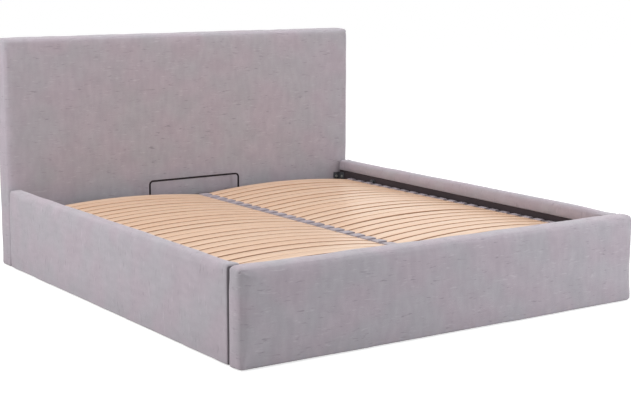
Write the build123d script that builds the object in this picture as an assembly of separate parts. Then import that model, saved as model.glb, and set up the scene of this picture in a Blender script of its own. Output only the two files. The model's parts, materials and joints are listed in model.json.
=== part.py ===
from build123d import *
import math
import os

# Storage bed for an 1800 by 2000 mattress, with a slatted base that lifts at its foot end.
# All sizes are in millimetres. The origin is on the floor under the middle of the bed,
# with +X across the bed, +Y towards the headboard and +Z up.

# Overall sizes
overall_width = 1940.0
overall_length = 2190.0
headboard_height = 1070.0
rail_height = 372.0
headboard_thickness = 96.0
footboard_thickness = 80.0
rail_thickness = 64.0
floor_gap = 5.0

# Upholstery: a padded cloth cover wrapped over boards
rail_outer_pad = 14.0
rail_lip_pad = 12.0
rail_top_pad = 16.0
rail_roll_radius = 26.0
lip_height = 66.0
footboard_outer_pad = 16.0
footboard_end_pad = 12.0
panel_edge_radius = 14.0
headboard_front_pad = 22.0
headboard_edge_pad = 10.0
back_cloth_thickness = 2.0
lining_thickness = 1.5
lining_floor_gap = 8.0

# Headboard board and timber frame behind it
headboard_board_thickness = 16.0
timber_width = 60.0
middle_rail_height = 340.0

# Storage floor
batten_width = 60.0
batten_height = 20.0
batten_count = 5
batten_end_margin = 60.0
floor_sheet_thickness = 8.0
floor_sheet_clearance = 0.5
floor_end_clearance = 1.0
glide_radius = 15.0
glide_inset = 120.0

# Slatted base: steel frame
platform_depth = 102.0
frame_side_gap = 6.0
frame_head_gap = 24.0
frame_foot_gap = 15.0
side_tube_width = 20.0
side_tube_height = 40.0
end_tube_width = 40.0
end_tube_height = 25.0
centre_tube_width = 40.0
cross_tube_size = 25.0
cross_tube_drop = 8.0
tube_wall = 2.0
cap_thickness = 3.0
cap_plug_length = 15.0
cap_clearance = 0.2

# Sprung slats and their holders
slat_width = 64.0
slat_gap = 12.0
slat_thickness = 8.0
slat_rise = 26.0
slat_head_margin = 95.0
slat_foot_margin = 60.0
slats_per_group = 4
centre_holder_width = 50.0
edge_holder_width = 24.0
holder_length = 68.0
holder_floor = 2.0
holder_roof = 4.0
holder_edge_radius = 1.5
slat_insert = 15.0
slat_clearance = 0.3

# Wire hoop that stops the mattress
hoop_width = 505.0
hoop_height = 84.0
hoop_wire_radius = 4.0
hoop_corner_radius = 20.0
hoop_collar_radius = 8.0
hoop_collar_height = 5.0

# Lift mechanism
plate_thickness = 4.0
pivot_from_headboard = 309.0
pivot_rise = 14.0
pivot_pin_radius = 6.0
pivot_collar_radius = 11.0
pivot_ear_radius = 16.0
pivot_end_gap = 0.3
running_clearance = 0.08
plate_gap = 0.4
hanger_foot_margin = 26.0
hanger_head_reach = 90.0
hanger_edge_margin = 2.0
hanger_corner_radius = 6.0
hanger_bolt_radius = 4.0
hanger_bolt_head_radius = 7.0
hanger_bolt_head_height = 1.4
hanger_bolt_count = 4
hanger_nut_height = 6.0
hanger_bolt_tail = 2.0
fixed_plate_foot_margin = 36.0
fixed_plate_head_reach = 60.0
fixed_plate_waist = 110.0
fixed_plate_floor_gap = 9.0
fixed_plate_corner_radius = 10.0

# Gas struts, from a stud on the fixed plate to the hanger plate
strut_low_back = 60.0
strut_low_rise = 26.0
strut_high_back = 230.0
strut_high_drop = 16.0
strut_inset = 11.0
stud_radius = 4.0
stud_collar_radius = 7.0
stud_washer_radius = 9.0
stud_washer_thickness = 2.0
strut_eye_radius = 10.0
strut_eye_width = 12.0
cylinder_radius = 9.0
cylinder_bore_radius = 7.5
cylinder_start = 16.0
cylinder_floor = 6.0
strut_end_gap = 30.0
cylinder_guide = 12.0
rod_radius = 4.0
piston_start = 42.0
piston_thickness = 6.0
piston_clearance = 0.1
rod_eye_clearance = 4.8
rod_washer_gap = 0.3
rod_washer_thickness = 1.0
fit_gap = 0.5

# Corner brackets and their bolts
bracket_thickness = 3.0
bracket_leg = 43.0
bracket_height = 90.0
bracket_below_lip = 1.0
bracket_bolt_side = 25.0
bracket_bolt_end = 22.0
bolt_radius = 4.0
bolt_head_radius = 7.0
bolt_head_height = 4.0
bolt_length = 34.0
bolt_clearance = 0.2

# Rests under the slatted base, with rubber bumpers
rest_width = 40.0
rest_height = 40.0
bumper_thickness = 4.0
bumper_radius = 8.0
bumper_gap = 0.3
side_rest_count = 3
side_rest_first = 250.0
side_rest_last = 150.0
foot_rest_inset = 420.0
foot_rest_reach = 57.0

# Wood screws that hold the plates and rests
screw_radius = 2.5
screw_head_radius = 5.0
screw_head_height = 2.5
screw_length = 28.0
screw_clearance = 0.1
screw_edge = 14.0

# Places worked out from the sizes above
half_width = overall_width / 2
half_length = overall_length / 2
inner_x = half_width - rail_thickness
board_inner_x = inner_x + rail_lip_pad
board_outer_x = half_width - rail_outer_pad
lining_x = board_inner_x - lining_thickness
head_y = half_length - headboard_thickness
foot_y = -half_length + footboard_thickness
foot_board_y = foot_y - rail_lip_pad
foot_lining_y = foot_board_y + lining_thickness
lip_bottom = rail_height - lip_height
board_top = rail_height - rail_top_pad
frame_x = inner_x - frame_side_gap
frame_top = rail_height - platform_depth
frame_head_y = head_y - frame_head_gap
frame_foot_y = foot_y + frame_foot_gap
tube_inner_x = frame_x - side_tube_width
side_tube_bottom = frame_top - side_tube_height
end_tube_bottom = frame_top - end_tube_height
floor_sheet_bottom = floor_gap + batten_height
floor_sheet_top = floor_sheet_bottom + floor_sheet_thickness
slat_pitch = slat_width + slat_gap
slat_head_y = frame_head_y - slat_head_margin
slat_count = int((slat_head_y - frame_foot_y - slat_foot_margin + slat_gap) / slat_pitch)
slat_inner_x = centre_holder_width / 2 - slat_insert
slat_outer_x = frame_x - edge_holder_width + slat_insert
slat_bottom = frame_top + holder_floor
holder_height = holder_floor + slat_thickness + holder_roof
pivot_y = head_y - pivot_from_headboard
pivot_height = frame_top + pivot_rise
hanger_outer_x = frame_x + plate_thickness
plate_inner_x = lining_x - plate_thickness
strut_x = frame_x - strut_inset
strut_low = (pivot_y - strut_low_back, floor_sheet_top + strut_low_rise)
strut_high = (pivot_y - strut_high_back, side_tube_bottom - strut_high_drop)
strut_length = math.hypot(strut_high[0] - strut_low[0], strut_high[1] - strut_low[1])
cylinder_end = strut_length - strut_end_gap
strut_angle = math.degrees(math.atan2(strut_high[1] - strut_low[1], strut_high[0] - strut_low[0]))
hanger_foot_y = strut_high[0] - hanger_foot_margin
fixed_plate_foot_y = strut_low[0] - fixed_plate_foot_margin
bracket_top = lip_bottom - bracket_below_lip
bracket_bottom = bracket_top - bracket_height

os.makedirs("parts", exist_ok=True)


def save(name, *solids):
    """Write one named sub-part, made of one solid or of several separate ones."""
    shape = solids[0] if len(solids) == 1 else Compound(children=list(solids))
    shape.label = name
    export_step(shape, "parts/" + name + ".step")


def block(x_low, x_high, y_low, y_high, z_low, z_high):
    """A box between two corners."""
    centre = Pos((x_low + x_high) / 2, (y_low + y_high) / 2, (z_low + z_high) / 2)
    return centre * Box(x_high - x_low, y_high - y_low, z_high - z_low)


def rod_x(x_low, x_high, y, z, radius):
    """A round bar along X."""
    return Pos((x_low + x_high) / 2, y, z) * Rot(0, 90, 0) * Cylinder(radius, x_high - x_low)


def rod_y(x, y_low, y_high, z, radius):
    """A round bar along Y."""
    return Pos(x, (y_low + y_high) / 2, z) * Rot(90, 0, 0) * Cylinder(radius, y_high - y_low)


def rod_z(x, y, z_low, z_high, radius):
    """A round bar along Z."""
    return Pos(x, y, (z_low + z_high) / 2) * Cylinder(radius, z_high - z_low)


def plate(points, x_low, x_high):
    """A flat plate across X, from an outline of (y, z) points."""
    outline = Polyline(*[(x_low, y, z) for y, z in points], close=True)
    return extrude(make_face(outline), amount=x_high - x_low, dir=(1, 0, 0))


def on_left(solid):
    """The same piece on the other side of the bed."""
    return mirror(solid, about=Plane.YZ)


def save_pair(name, right_solid):
    """Write the right piece and its mirror image."""
    save("right_" + name, right_solid)
    save("left_" + name, on_left(right_solid))


def both_sides(solids):
    """Right solids with their mirror images, for one shared node."""
    return list(solids) + [on_left(solid) for solid in solids]


def cut_all(solid, tools):
    """Take every tool out of a solid."""
    for tool in tools:
        solid = solid - tool
    return solid


# Fastener places, shared by the fasteners and by the holes they pass through

def bracket_corners():
    """Each right corner bracket: the face it meets at its end, and the way towards that end."""
    return [(head_y, 1), (foot_lining_y, -1)]


def bracket_bolts(gap):
    """Right side corner bolts, each grown all round by a gap."""
    bolts = []
    face_x = lining_x - bracket_thickness
    for end_y, way in bracket_corners():
        for z in (bracket_bottom + bracket_bolt_end, bracket_top - bracket_bolt_end):
            side_y = end_y - way * bracket_bolt_side
            bolts.append(rod_x(face_x, face_x + bolt_length, side_y, z, bolt_radius + gap))
            face_y = end_y - way * bracket_thickness
            ends = sorted((face_y, face_y + way * bolt_length))
            bolts.append(rod_y(lining_x - bracket_bolt_side, ends[0], ends[1], z, bolt_radius + gap))
    return bolts


def bracket_bolt_heads():
    """Heads of the corner bolts, on the inner faces of the brackets."""
    heads = []
    face_x = lining_x - bracket_thickness
    for end_y, way in bracket_corners():
        for z in (bracket_bottom + bracket_bolt_end, bracket_top - bracket_bolt_end):
            side_y = end_y - way * bracket_bolt_side
            heads.append(rod_x(face_x - bolt_head_height, face_x, side_y, z, bolt_head_radius))
            face_y = end_y - way * bracket_thickness
            ends = sorted((face_y, face_y - way * bolt_head_height))
            heads.append(rod_y(lining_x - bracket_bolt_side, ends[0], ends[1], z, bolt_head_radius))
    return heads


def side_rest_places():
    """Y places of the rests along a side rail, all on the foot side of the pivot."""
    first = foot_y + side_rest_first
    last = strut_high[0] - side_rest_last
    return [first + (last - first) * i / (side_rest_count - 1) for i in range(side_rest_count)]


def side_rest_top():
    """Top of a side rest's shelf."""
    return side_tube_bottom - bumper_gap - bumper_thickness


def foot_rest_top():
    """Top of a foot rest's shelf."""
    return end_tube_bottom - bumper_gap - bumper_thickness


def fixed_plate_screws():
    """Screw places (y, z) on the fixed plate."""
    low = floor_sheet_top + fixed_plate_floor_gap + screw_edge
    middle = pivot_height - fixed_plate_waist
    return [
        (strut_low[0] - screw_edge, low),
        (pivot_y + fixed_plate_head_reach - 2 * screw_edge, low),
        (pivot_y - pivot_ear_radius - screw_edge, middle),
        (pivot_y + pivot_ear_radius + screw_edge, middle),
    ]


def screws_along_x():
    """Right side screws driven outwards: (face x, y, z)."""
    places = [(plate_inner_x, y, z) for y, z in fixed_plate_screws()]
    z = side_rest_top() - rest_height / 2
    offset = rest_width / 2 - screw_edge / 2
    for centre in side_rest_places():
        for side in (-1, 1):
            places.append((lining_x - bracket_thickness, centre + side * offset, z))
    return places


def screws_along_y():
    """Right side screws of the foot rest, driven towards the foot: (x, face y, z)."""
    z = foot_rest_top() - rest_height / 2
    face = foot_lining_y + bracket_thickness
    return [(foot_rest_inset + side * (rest_width / 2 - screw_edge / 2), face, z) for side in (-1, 1)]


def screw_shanks(gap):
    """Shanks of the right side screws, grown by a gap."""
    shanks = [rod_x(x, x + screw_length, y, z, screw_radius + gap) for x, y, z in screws_along_x()]
    shanks += [rod_y(x, y - screw_length, y, z, screw_radius + gap) for x, y, z in screws_along_y()]
    return shanks


# Headboard

def headboard_board():
    """Board under the front padding."""
    x = half_width - headboard_edge_pad
    y_low = head_y + headboard_front_pad
    y_high = y_low + headboard_board_thickness
    board = block(-x, x, y_low, y_high, floor_gap, headboard_height - headboard_edge_pad)
    return cut_all(board, both_sides(bracket_bolts(bolt_clearance)))


def headboard_frame():
    """Timber uprights and the rails between them, behind the board."""
    x = half_width - headboard_edge_pad
    y_low = head_y + headboard_front_pad + headboard_board_thickness
    y_high = half_length - back_cloth_thickness
    top = headboard_height - headboard_edge_pad
    solids = [
        block(-x, -x + timber_width, y_low, y_high, floor_gap, top),
        block(-timber_width / 2, timber_width / 2, y_low, y_high, floor_gap, top),
        block(x - timber_width, x, y_low, y_high, floor_gap, top),
    ]
    for z in (floor_gap, middle_rail_height, top - timber_width):
        rail = block(timber_width / 2, x - timber_width, y_low, y_high, z, z + timber_width)
        solids += both_sides([rail])
    return solids


def headboard_cover():
    """Padded cloth over the front, the top and the two sides."""
    y_high = half_length - back_cloth_thickness
    body = block(-half_width, half_width, head_y, y_high, floor_gap, headboard_height)
    front = body.faces().sort_by(Axis.Y)[0]
    edges = front.edges().filter_by(Axis.Z) + front.edges().filter_by(Axis.X).sort_by(Axis.Z)[-1:]
    body = fillet(edges, min(panel_edge_radius, headboard_front_pad))
    x = half_width - headboard_edge_pad
    top = headboard_height - headboard_edge_pad
    core = block(-x, x, head_y + headboard_front_pad, y_high, floor_gap, top)
    return cut_all(body - core, both_sides(bracket_bolts(bolt_clearance)))


def headboard_back_cloth():
    """Thin cloth that closes the back."""
    y_low = half_length - back_cloth_thickness
    return block(-half_width, half_width, y_low, half_length, floor_gap, headboard_height)


# Side rails

def rail_board():
    """Board inside the right side rail."""
    board = block(board_inner_x, board_outer_x, foot_y, head_y, floor_gap, board_top)
    return cut_all(board, bracket_bolts(bolt_clearance) + screw_shanks(screw_clearance))


def rail_cover():
    """Padded cloth over the outer face, the rounded top and the inner lip."""
    body = block(inner_x, half_width, foot_y, head_y, floor_gap, rail_height)
    top_edges = body.faces().sort_by(Axis.Z)[-1].edges().filter_by(Axis.Y)
    body = fillet(top_edges, min(rail_roll_radius, rail_thickness / 2 - fit_gap))
    core = block(board_inner_x, board_outer_x, foot_y, head_y, floor_gap, board_top)
    below_lip = block(inner_x, board_inner_x, foot_y, head_y, floor_gap, lip_bottom)
    return body - core - below_lip


def rail_lining():
    """Dark cloth on the inner face, under the lip."""
    lining = block(lining_x, board_inner_x, foot_y, head_y, lining_floor_gap, lip_bottom)
    return cut_all(lining, bracket_bolts(bolt_clearance) + screw_shanks(screw_clearance))


# Footboard

def footboard_board():
    """Board inside the footboard."""
    x = half_width - footboard_end_pad
    board = block(-x, x, -half_length + footboard_outer_pad, foot_board_y, floor_gap, board_top)
    holes = bracket_bolts(bolt_clearance) + screw_shanks(screw_clearance)
    return cut_all(board, both_sides(holes))


def footboard_cover():
    """Padded cloth over the outer face, the two ends, the top and the inner lip."""
    body = block(-half_width, half_width, -half_length, foot_y, floor_gap, rail_height)
    outer = body.faces().sort_by(Axis.Y)[0].edges().filter_by(Axis.Z)
    top = body.faces().sort_by(Axis.Z)[-1].edges()
    body = fillet(outer + top, panel_edge_radius)
    x = half_width - footboard_end_pad
    core = block(-x, x, -half_length + footboard_outer_pad, foot_board_y, floor_gap, board_top)
    below_lip = block(-lining_x, lining_x, foot_board_y, foot_y, floor_gap, lip_bottom)
    return body - core - below_lip


def footboard_lining():
    """Dark cloth on the inner face, under the lip."""
    lining = block(-lining_x, lining_x, foot_board_y, foot_lining_y, lining_floor_gap, lip_bottom)
    return cut_all(lining, both_sides(bracket_bolts(bolt_clearance) + screw_shanks(screw_clearance)))


# Storage floor

def batten_places():
    """Y centres of the floor battens."""
    first = foot_y + batten_end_margin
    last = head_y - batten_end_margin
    return [first + (last - first) * i / (batten_count - 1) for i in range(batten_count)]


def floor_battens():
    """Timber battens under the storage floor."""
    x = lining_x - floor_sheet_clearance
    half = batten_width / 2
    return [block(-x, x, y - half, y + half, floor_gap, floor_sheet_bottom) for y in batten_places()]


def floor_sheet():
    """Right half of the storage floor."""
    x_high = lining_x - floor_sheet_clearance
    y_low = foot_y + floor_end_clearance
    y_high = head_y - floor_end_clearance
    return block(floor_sheet_clearance, x_high, y_low, y_high, floor_sheet_bottom, floor_sheet_top)


def glides():
    """Plastic discs under the panels, the rails and the battens."""
    rail_x = (board_inner_x + board_outer_x) / 2
    head_centre = half_length - headboard_thickness / 2
    foot_centre = -half_length + footboard_thickness / 2
    places = [(0, y) for y in batten_places()]
    for side in (-1, 1):
        places += [(side * (lining_x - glide_inset), y) for y in batten_places()]
        places += [(side * rail_x, y) for y in (foot_y + glide_inset, 0, head_y - glide_inset)]
        places += [(side * (half_width - glide_inset), y) for y in (head_centre, foot_centre)]
    return [rod_z(x, y, 0, floor_gap, glide_radius) for x, y in places]


# Steel frame of the slatted base

def tube(x_low, x_high, y_low, y_high, z_low, z_high, along):
    """A square tube between two corners, open along X or Y."""
    x_wall = 0 if along == "x" else tube_wall
    y_wall = 0 if along == "y" else tube_wall
    outer = block(x_low, x_high, y_low, y_high, z_low, z_high)
    bore = block(x_low + x_wall, x_high - x_wall, y_low + y_wall, y_high - y_wall,
                 z_low + tube_wall, z_high - tube_wall)
    return outer - bore


def hanger_bolt_places():
    """Y places of the bolts that hold a hanger plate to its side tube."""
    z = side_tube_bottom + side_tube_height / 2
    margin = 3 * hanger_bolt_head_radius
    low = hanger_foot_y + margin
    high = pivot_y + hanger_head_reach - margin
    return [(low + (high - low) * i / (hanger_bolt_count - 1), z) for i in range(hanger_bolt_count)]


def side_tube():
    """Right side tube, with holes for the hanger bolts."""
    body = tube(tube_inner_x, frame_x, frame_foot_y, frame_head_y, side_tube_bottom, frame_top, "y")
    radius = hanger_bolt_radius + bolt_clearance
    return cut_all(body, [rod_x(tube_inner_x, frame_x, y, z, radius) for y, z in hanger_bolt_places()])


def end_tube(y_low):
    """Head or foot tube, between the side tubes."""
    y_high = y_low + end_tube_width
    return tube(-tube_inner_x, tube_inner_x, y_low, y_high, end_tube_bottom, frame_top, "x")


def centre_tube():
    """Tube along the middle, under the inner ends of the slats."""
    half = centre_tube_width / 2
    y_low = frame_foot_y + end_tube_width
    y_high = frame_head_y - end_tube_width
    return tube(-half, half, y_low, y_high, side_tube_bottom, frame_top, "y")


def cross_tubes():
    """Four short tubes between the centre tube and the side tubes."""
    z_high = frame_top - cross_tube_drop
    z_low = z_high - cross_tube_size
    third = (frame_head_y - frame_foot_y) / 3
    head_cross_y = min(frame_head_y - third, hanger_foot_y - cross_tube_size)
    solids = []
    for y in (frame_foot_y + third, head_cross_y):
        y_low = y - cross_tube_size / 2
        right = tube(centre_tube_width / 2, tube_inner_x, y_low, y_low + cross_tube_size, z_low, z_high, "x")
        solids += both_sides([right])
    return solids


def tube_end_caps():
    """Plastic caps plugged into the four open ends of the side tubes."""
    inset = tube_wall + cap_clearance
    solids = []
    for end_y, way in ((frame_head_y, 1), (frame_foot_y, -1)):
        flange = sorted((end_y, end_y + way * cap_thickness))
        plug = sorted((end_y, end_y - way * cap_plug_length))
        cap = block(tube_inner_x, frame_x, flange[0], flange[1], side_tube_bottom, frame_top)
        cap += block(tube_inner_x + inset, frame_x - inset, plug[0], plug[1],
                     side_tube_bottom + inset, frame_top - inset)
        solids.append(cap)
    return both_sides(solids)


def mattress_hoop():
    """Bent wire hoop that stands on the head tube."""
    x = hoop_width / 2
    y = frame_head_y - end_tube_width / 2
    top = frame_top + hoop_height
    path = FilletPolyline((-x, y, frame_top), (-x, y, top), (x, y, top), (x, y, frame_top),
                          radius=hoop_corner_radius)
    wire = sweep(Plane(origin=(-x, y, frame_top), z_dir=(0, 0, 1)) * Circle(hoop_wire_radius), path=path)
    for side in (-1, 1):
        wire += rod_z(side * x, y, frame_top, frame_top + hoop_collar_height, hoop_collar_radius)
    return wire


# Slats and holders

def slat_centres():
    """Y centres of the slats, from the head to the foot."""
    first = slat_head_y - slat_width / 2
    return [first - i * slat_pitch for i in range(slat_count)]


def slat_solid(y, gap):
    """One right slat, a shallow arch along X, grown by a gap."""
    side = y - slat_width / 2 - gap
    low = slat_bottom - gap
    high = slat_bottom + slat_thickness + gap
    middle = (slat_inner_x + slat_outer_x) / 2
    left = slat_inner_x - gap
    right = slat_outer_x + gap
    under = ThreePointArc((left, side, low), (middle, side, low + slat_rise), (right, side, low))
    over = ThreePointArc((left, side, high), (middle, side, high + slat_rise), (right, side, high))
    ends = [Line((x, side, low), (x, side, high)) for x in (left, right)]
    return extrude(make_face([under, over] + ends), amount=slat_width + 2 * gap, dir=(0, 1, 0))


def holder_block(x_low, x_high, y):
    """Outer shape of one slat holder."""
    half = holder_length / 2
    body = block(x_low, x_high, y - half, y + half, frame_top, frame_top + holder_height)
    edges = body.edges().filter_by(Axis.Z) + body.faces().sort_by(Axis.Z)[-1].edges()
    return fillet(edges, holder_edge_radius)


def centre_holder(y):
    """Double holder for the inner ends of two slats."""
    socket = slat_solid(y, slat_clearance)
    half = centre_holder_width / 2
    return holder_block(-half, half, y) - socket - on_left(socket)


def edge_holder(y):
    """Holder for the outer end of one right slat."""
    return holder_block(frame_x - edge_holder_width, frame_x, y) - slat_solid(y, slat_clearance)


# Lift mechanism

def hanger_plate():
    """Plate bolted outside the right side tube, with an ear up to the pivot and one down to the strut."""
    low = side_tube_bottom + hanger_edge_margin
    high = frame_top - hanger_edge_margin
    foot = hanger_foot_y
    head = pivot_y + hanger_head_reach
    ear = pivot_ear_radius
    bar = plate([(foot, low), (head, low), (head, high), (foot, high)], frame_x, hanger_outer_x)
    bar = fillet(bar.edges().filter_by(Axis.X), hanger_corner_radius)
    upper = plate([(pivot_y - 2 * ear, high), (pivot_y + 2 * ear, high), (pivot_y + ear, pivot_height),
                   (pivot_y - ear, pivot_height)], frame_x, hanger_outer_x)
    upper += rod_x(frame_x, hanger_outer_x, pivot_y, pivot_height, ear)
    strut_y, strut_z = strut_high
    lower = plate([(strut_y - ear, strut_z), (strut_y + ear, strut_z), (strut_y + 2 * ear, low),
                   (strut_y - ear, low)], frame_x, hanger_outer_x)
    lower += rod_x(frame_x, hanger_outer_x, strut_y, strut_z, ear)
    body = bar + upper + lower
    holes = [rod_x(frame_x, hanger_outer_x, pivot_y, pivot_height, pivot_pin_radius + running_clearance),
             rod_x(frame_x, hanger_outer_x, strut_y, strut_z, stud_radius + rod_eye_clearance)]
    radius = hanger_bolt_radius + bolt_clearance
    holes += [rod_x(frame_x, hanger_outer_x, y, z, radius) for y, z in hanger_bolt_places()]
    return cut_all(body, holes)


def hanger_bolts():
    """Bolts through the right hanger plate and side tube, with their nuts."""
    solids = []
    for y, z in hanger_bolt_places():
        bolt = rod_x(hanger_outer_x, hanger_outer_x + hanger_bolt_head_height, y, z, hanger_bolt_head_radius)
        tail = tube_inner_x - hanger_nut_height - hanger_bolt_tail
        bolt += rod_x(tail, hanger_outer_x, y, z, hanger_bolt_radius)
        nut = Pos(tube_inner_x - hanger_nut_height / 2, y, z) * Rot(0, 90, 0) * extrude(
            RegularPolygon(hanger_bolt_head_radius, 6), amount=hanger_nut_height / 2, both=True)
        nut -= rod_x(tail, tube_inner_x, y, z, hanger_bolt_radius + running_clearance)
        solids += [bolt, nut]
    return solids


def fixed_plate():
    """Plate screwed to the rail, carrying the pivot at its top and the strut stud at its foot."""
    bottom = floor_sheet_top + fixed_plate_floor_gap
    ear = pivot_ear_radius
    waist = pivot_height - fixed_plate_waist
    points = [
        (fixed_plate_foot_y, bottom),
        (pivot_y + fixed_plate_head_reach, bottom),
        (pivot_y + fixed_plate_head_reach, waist),
        (pivot_y + ear, pivot_height),
        (pivot_y - ear, pivot_height),
        (fixed_plate_foot_y, waist),
    ]
    body = plate(points, plate_inner_x, lining_x)
    corners = body.edges().filter_by(Axis.X).group_by(Axis.Z)[:-1]
    body = fillet([edge for group in corners for edge in group], fixed_plate_corner_radius)
    body += rod_x(plate_inner_x, lining_x, pivot_y, pivot_height, ear)
    holes = [rod_x(plate_inner_x, lining_x, pivot_y, pivot_height, pivot_pin_radius + running_clearance),
             rod_x(plate_inner_x, lining_x, strut_low[0], strut_low[1], stud_radius + running_clearance)]
    radius = screw_radius + screw_clearance
    holes += [rod_x(plate_inner_x, lining_x, y, z, radius) for y, z in fixed_plate_screws()]
    return cut_all(body, holes)


def pivot_pin():
    """Right shoulder pin, flush in both plates, with its collar between them."""
    pin = rod_x(frame_x + pivot_end_gap, lining_x, pivot_y, pivot_height, pivot_pin_radius)
    return pin + rod_x(hanger_outer_x + plate_gap, plate_inner_x, pivot_y, pivot_height, pivot_collar_radius)


def strut_stud():
    """Right stud for the low end of the strut, with a collar and a washer head."""
    y, z = strut_low
    eye_low = strut_x - strut_eye_width / 2
    eye_high = strut_x + strut_eye_width / 2
    stud = rod_x(eye_low - fit_gap, lining_x, y, z, stud_radius)
    stud += rod_x(eye_high + fit_gap, plate_inner_x, y, z, stud_collar_radius)
    washer_high = eye_low - fit_gap
    return stud + rod_x(washer_high - stud_washer_thickness, washer_high, y, z, stud_washer_radius)


def along_strut(solid):
    """Move a piece drawn along +Z from the low stud onto the strut's line."""
    y, z = strut_low
    return Pos(strut_x, y, z) * Rot(strut_angle - 90, 0, 0) * solid


def strut_eye(hole_radius):
    """A flat round eye about X at the origin."""
    eye = Rot(0, 90, 0) * Cylinder(strut_eye_radius, strut_eye_width)
    return eye - Rot(0, 90, 0) * Cylinder(hole_radius, strut_eye_width)


def strut_cylinder():
    """Right gas cylinder: an eye, the tube with its bore, and the rod guide."""
    shell = rod_z(0, 0, cylinder_start, cylinder_end, cylinder_radius)
    shell -= rod_z(0, 0, cylinder_start + cylinder_floor, cylinder_end - cylinder_guide, cylinder_bore_radius)
    shell -= rod_z(0, 0, cylinder_end - cylinder_guide, cylinder_end, rod_radius + running_clearance)
    neck_low = strut_eye_radius - fit_gap
    neck = rod_z(0, 0, neck_low, cylinder_start, strut_eye_width / 2)
    return along_strut(strut_eye(stud_radius + running_clearance) + neck + shell)


def strut_rod():
    """Right rod with its piston, and the end block whose stud goes through the hanger plate."""
    rod = rod_z(0, 0, piston_start, strut_length - strut_eye_radius + fit_gap, rod_radius)
    rod += rod_z(0, 0, piston_start, piston_start + piston_thickness, cylinder_bore_radius - piston_clearance)
    end = Pos(0, 0, strut_length) * Rot(0, 90, 0) * Cylinder(strut_eye_radius, strut_eye_width)
    piece = along_strut(rod + end)
    y, z = strut_high
    washer_low = hanger_outer_x + rod_washer_gap
    piece += rod_x(strut_x, washer_low, y, z, stud_radius)
    washer_radius = stud_radius + 2 * rod_eye_clearance
    return piece + rod_x(washer_low, washer_low + rod_washer_thickness, y, z, washer_radius)


# Brackets, rests and screws

def corner_brackets():
    """Right angle brackets that tie the rail to the headboard and to the footboard."""
    solids = []
    for end_y, way in bracket_corners():
        side = sorted((end_y, end_y - way * bracket_leg))
        face = sorted((end_y, end_y - way * bracket_thickness))
        body = block(lining_x - bracket_thickness, lining_x, side[0], side[1], bracket_bottom, bracket_top)
        body += block(lining_x - bracket_leg, lining_x, face[0], face[1], bracket_bottom, bracket_top)
        solids.append(cut_all(body, bracket_bolts(bolt_clearance)))
    return both_sides(solids)


def corner_bolts():
    """Bolts through the corner brackets."""
    pairs = zip(bracket_bolts(0), bracket_bolt_heads())
    return both_sides([shank + head for shank, head in pairs])


def side_rest(y):
    """Right angle shelf under the side tube."""
    half = rest_width / 2
    top = side_rest_top()
    body = block(lining_x - bracket_thickness, lining_x, y - half, y + half, top - rest_height, top)
    body += block(tube_inner_x, lining_x, y - half, y + half, top - bracket_thickness, top)
    return cut_all(body, screw_shanks(screw_clearance))


def foot_rest():
    """Right angle shelf under the foot tube."""
    half = rest_width / 2
    top = foot_rest_top()
    x = foot_rest_inset
    body = block(x - half, x + half, foot_lining_y, foot_lining_y + bracket_thickness, top - rest_height, top)
    body += block(x - half, x + half, foot_lining_y, foot_lining_y + foot_rest_reach,
                  top - bracket_thickness, top)
    return cut_all(body, screw_shanks(screw_clearance))


def rest_brackets():
    """All the shelves that the slatted base lies on."""
    return both_sides([side_rest(y) for y in side_rest_places()] + [foot_rest()])


def rest_bumpers():
    """Rubber bumpers on the shelves, just under the tubes."""
    x = (tube_inner_x + frame_x) / 2
    top = side_rest_top()
    solids = [rod_z(x, y, top, top + bumper_thickness, bumper_radius) for y in side_rest_places()]
    top = foot_rest_top()
    y = frame_foot_y + end_tube_width / 2
    solids.append(rod_z(foot_rest_inset, y, top, top + bumper_thickness, bumper_radius))
    return both_sides(solids)


def wood_screws():
    """Screws of the fixed plates and the rests."""
    solids = []
    for x, y, z in screws_along_x():
        head = rod_x(x - screw_head_height, x, y, z, screw_head_radius)
        solids.append(head + rod_x(x, x + screw_length, y, z, screw_radius))
    for x, y, z in screws_along_y():
        head = rod_y(x, y, y + screw_head_height, z, screw_head_radius)
        solids.append(head + rod_y(x, y - screw_length, y, z, screw_radius))
    return both_sides(solids)


# Build and write every sub-part

save("headboard_board", headboard_board())
save("headboard_frame", *headboard_frame())
save("headboard_cover", headboard_cover())
save("headboard_back_cloth", headboard_back_cloth())
save_pair("rail_board", rail_board())
save_pair("rail_cover", rail_cover())
save_pair("rail_lining", rail_lining())
save("footboard_board", footboard_board())
save("footboard_cover", footboard_cover())
save("footboard_lining", footboard_lining())
save("floor_battens", *floor_battens())
save_pair("floor_sheet", floor_sheet())
save("glides", *glides())
save("corner_brackets", *corner_brackets())
save("corner_bolts", *corner_bolts())
save_pair("fixed_plate", fixed_plate())
save("pivot_pins", *both_sides([pivot_pin()]))
save("strut_studs", *both_sides([strut_stud()]))
save("rest_brackets", *rest_brackets())
save("rest_bumpers", *rest_bumpers())
save("wood_screws", *wood_screws())
save_pair("side_tube", side_tube())
save("head_tube", end_tube(frame_head_y - end_tube_width))
save("foot_tube", end_tube(frame_foot_y))
save("centre_tube", centre_tube())
save("cross_tubes", *cross_tubes())
save("tube_end_caps", *tube_end_caps())
save("mattress_hoop", mattress_hoop())
save_pair("hanger_plate", hanger_plate())
save("hanger_bolts", *both_sides(hanger_bolts()))
save_pair("strut_cylinder", strut_cylinder())
save_pair("strut_rod", strut_rod())

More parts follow.
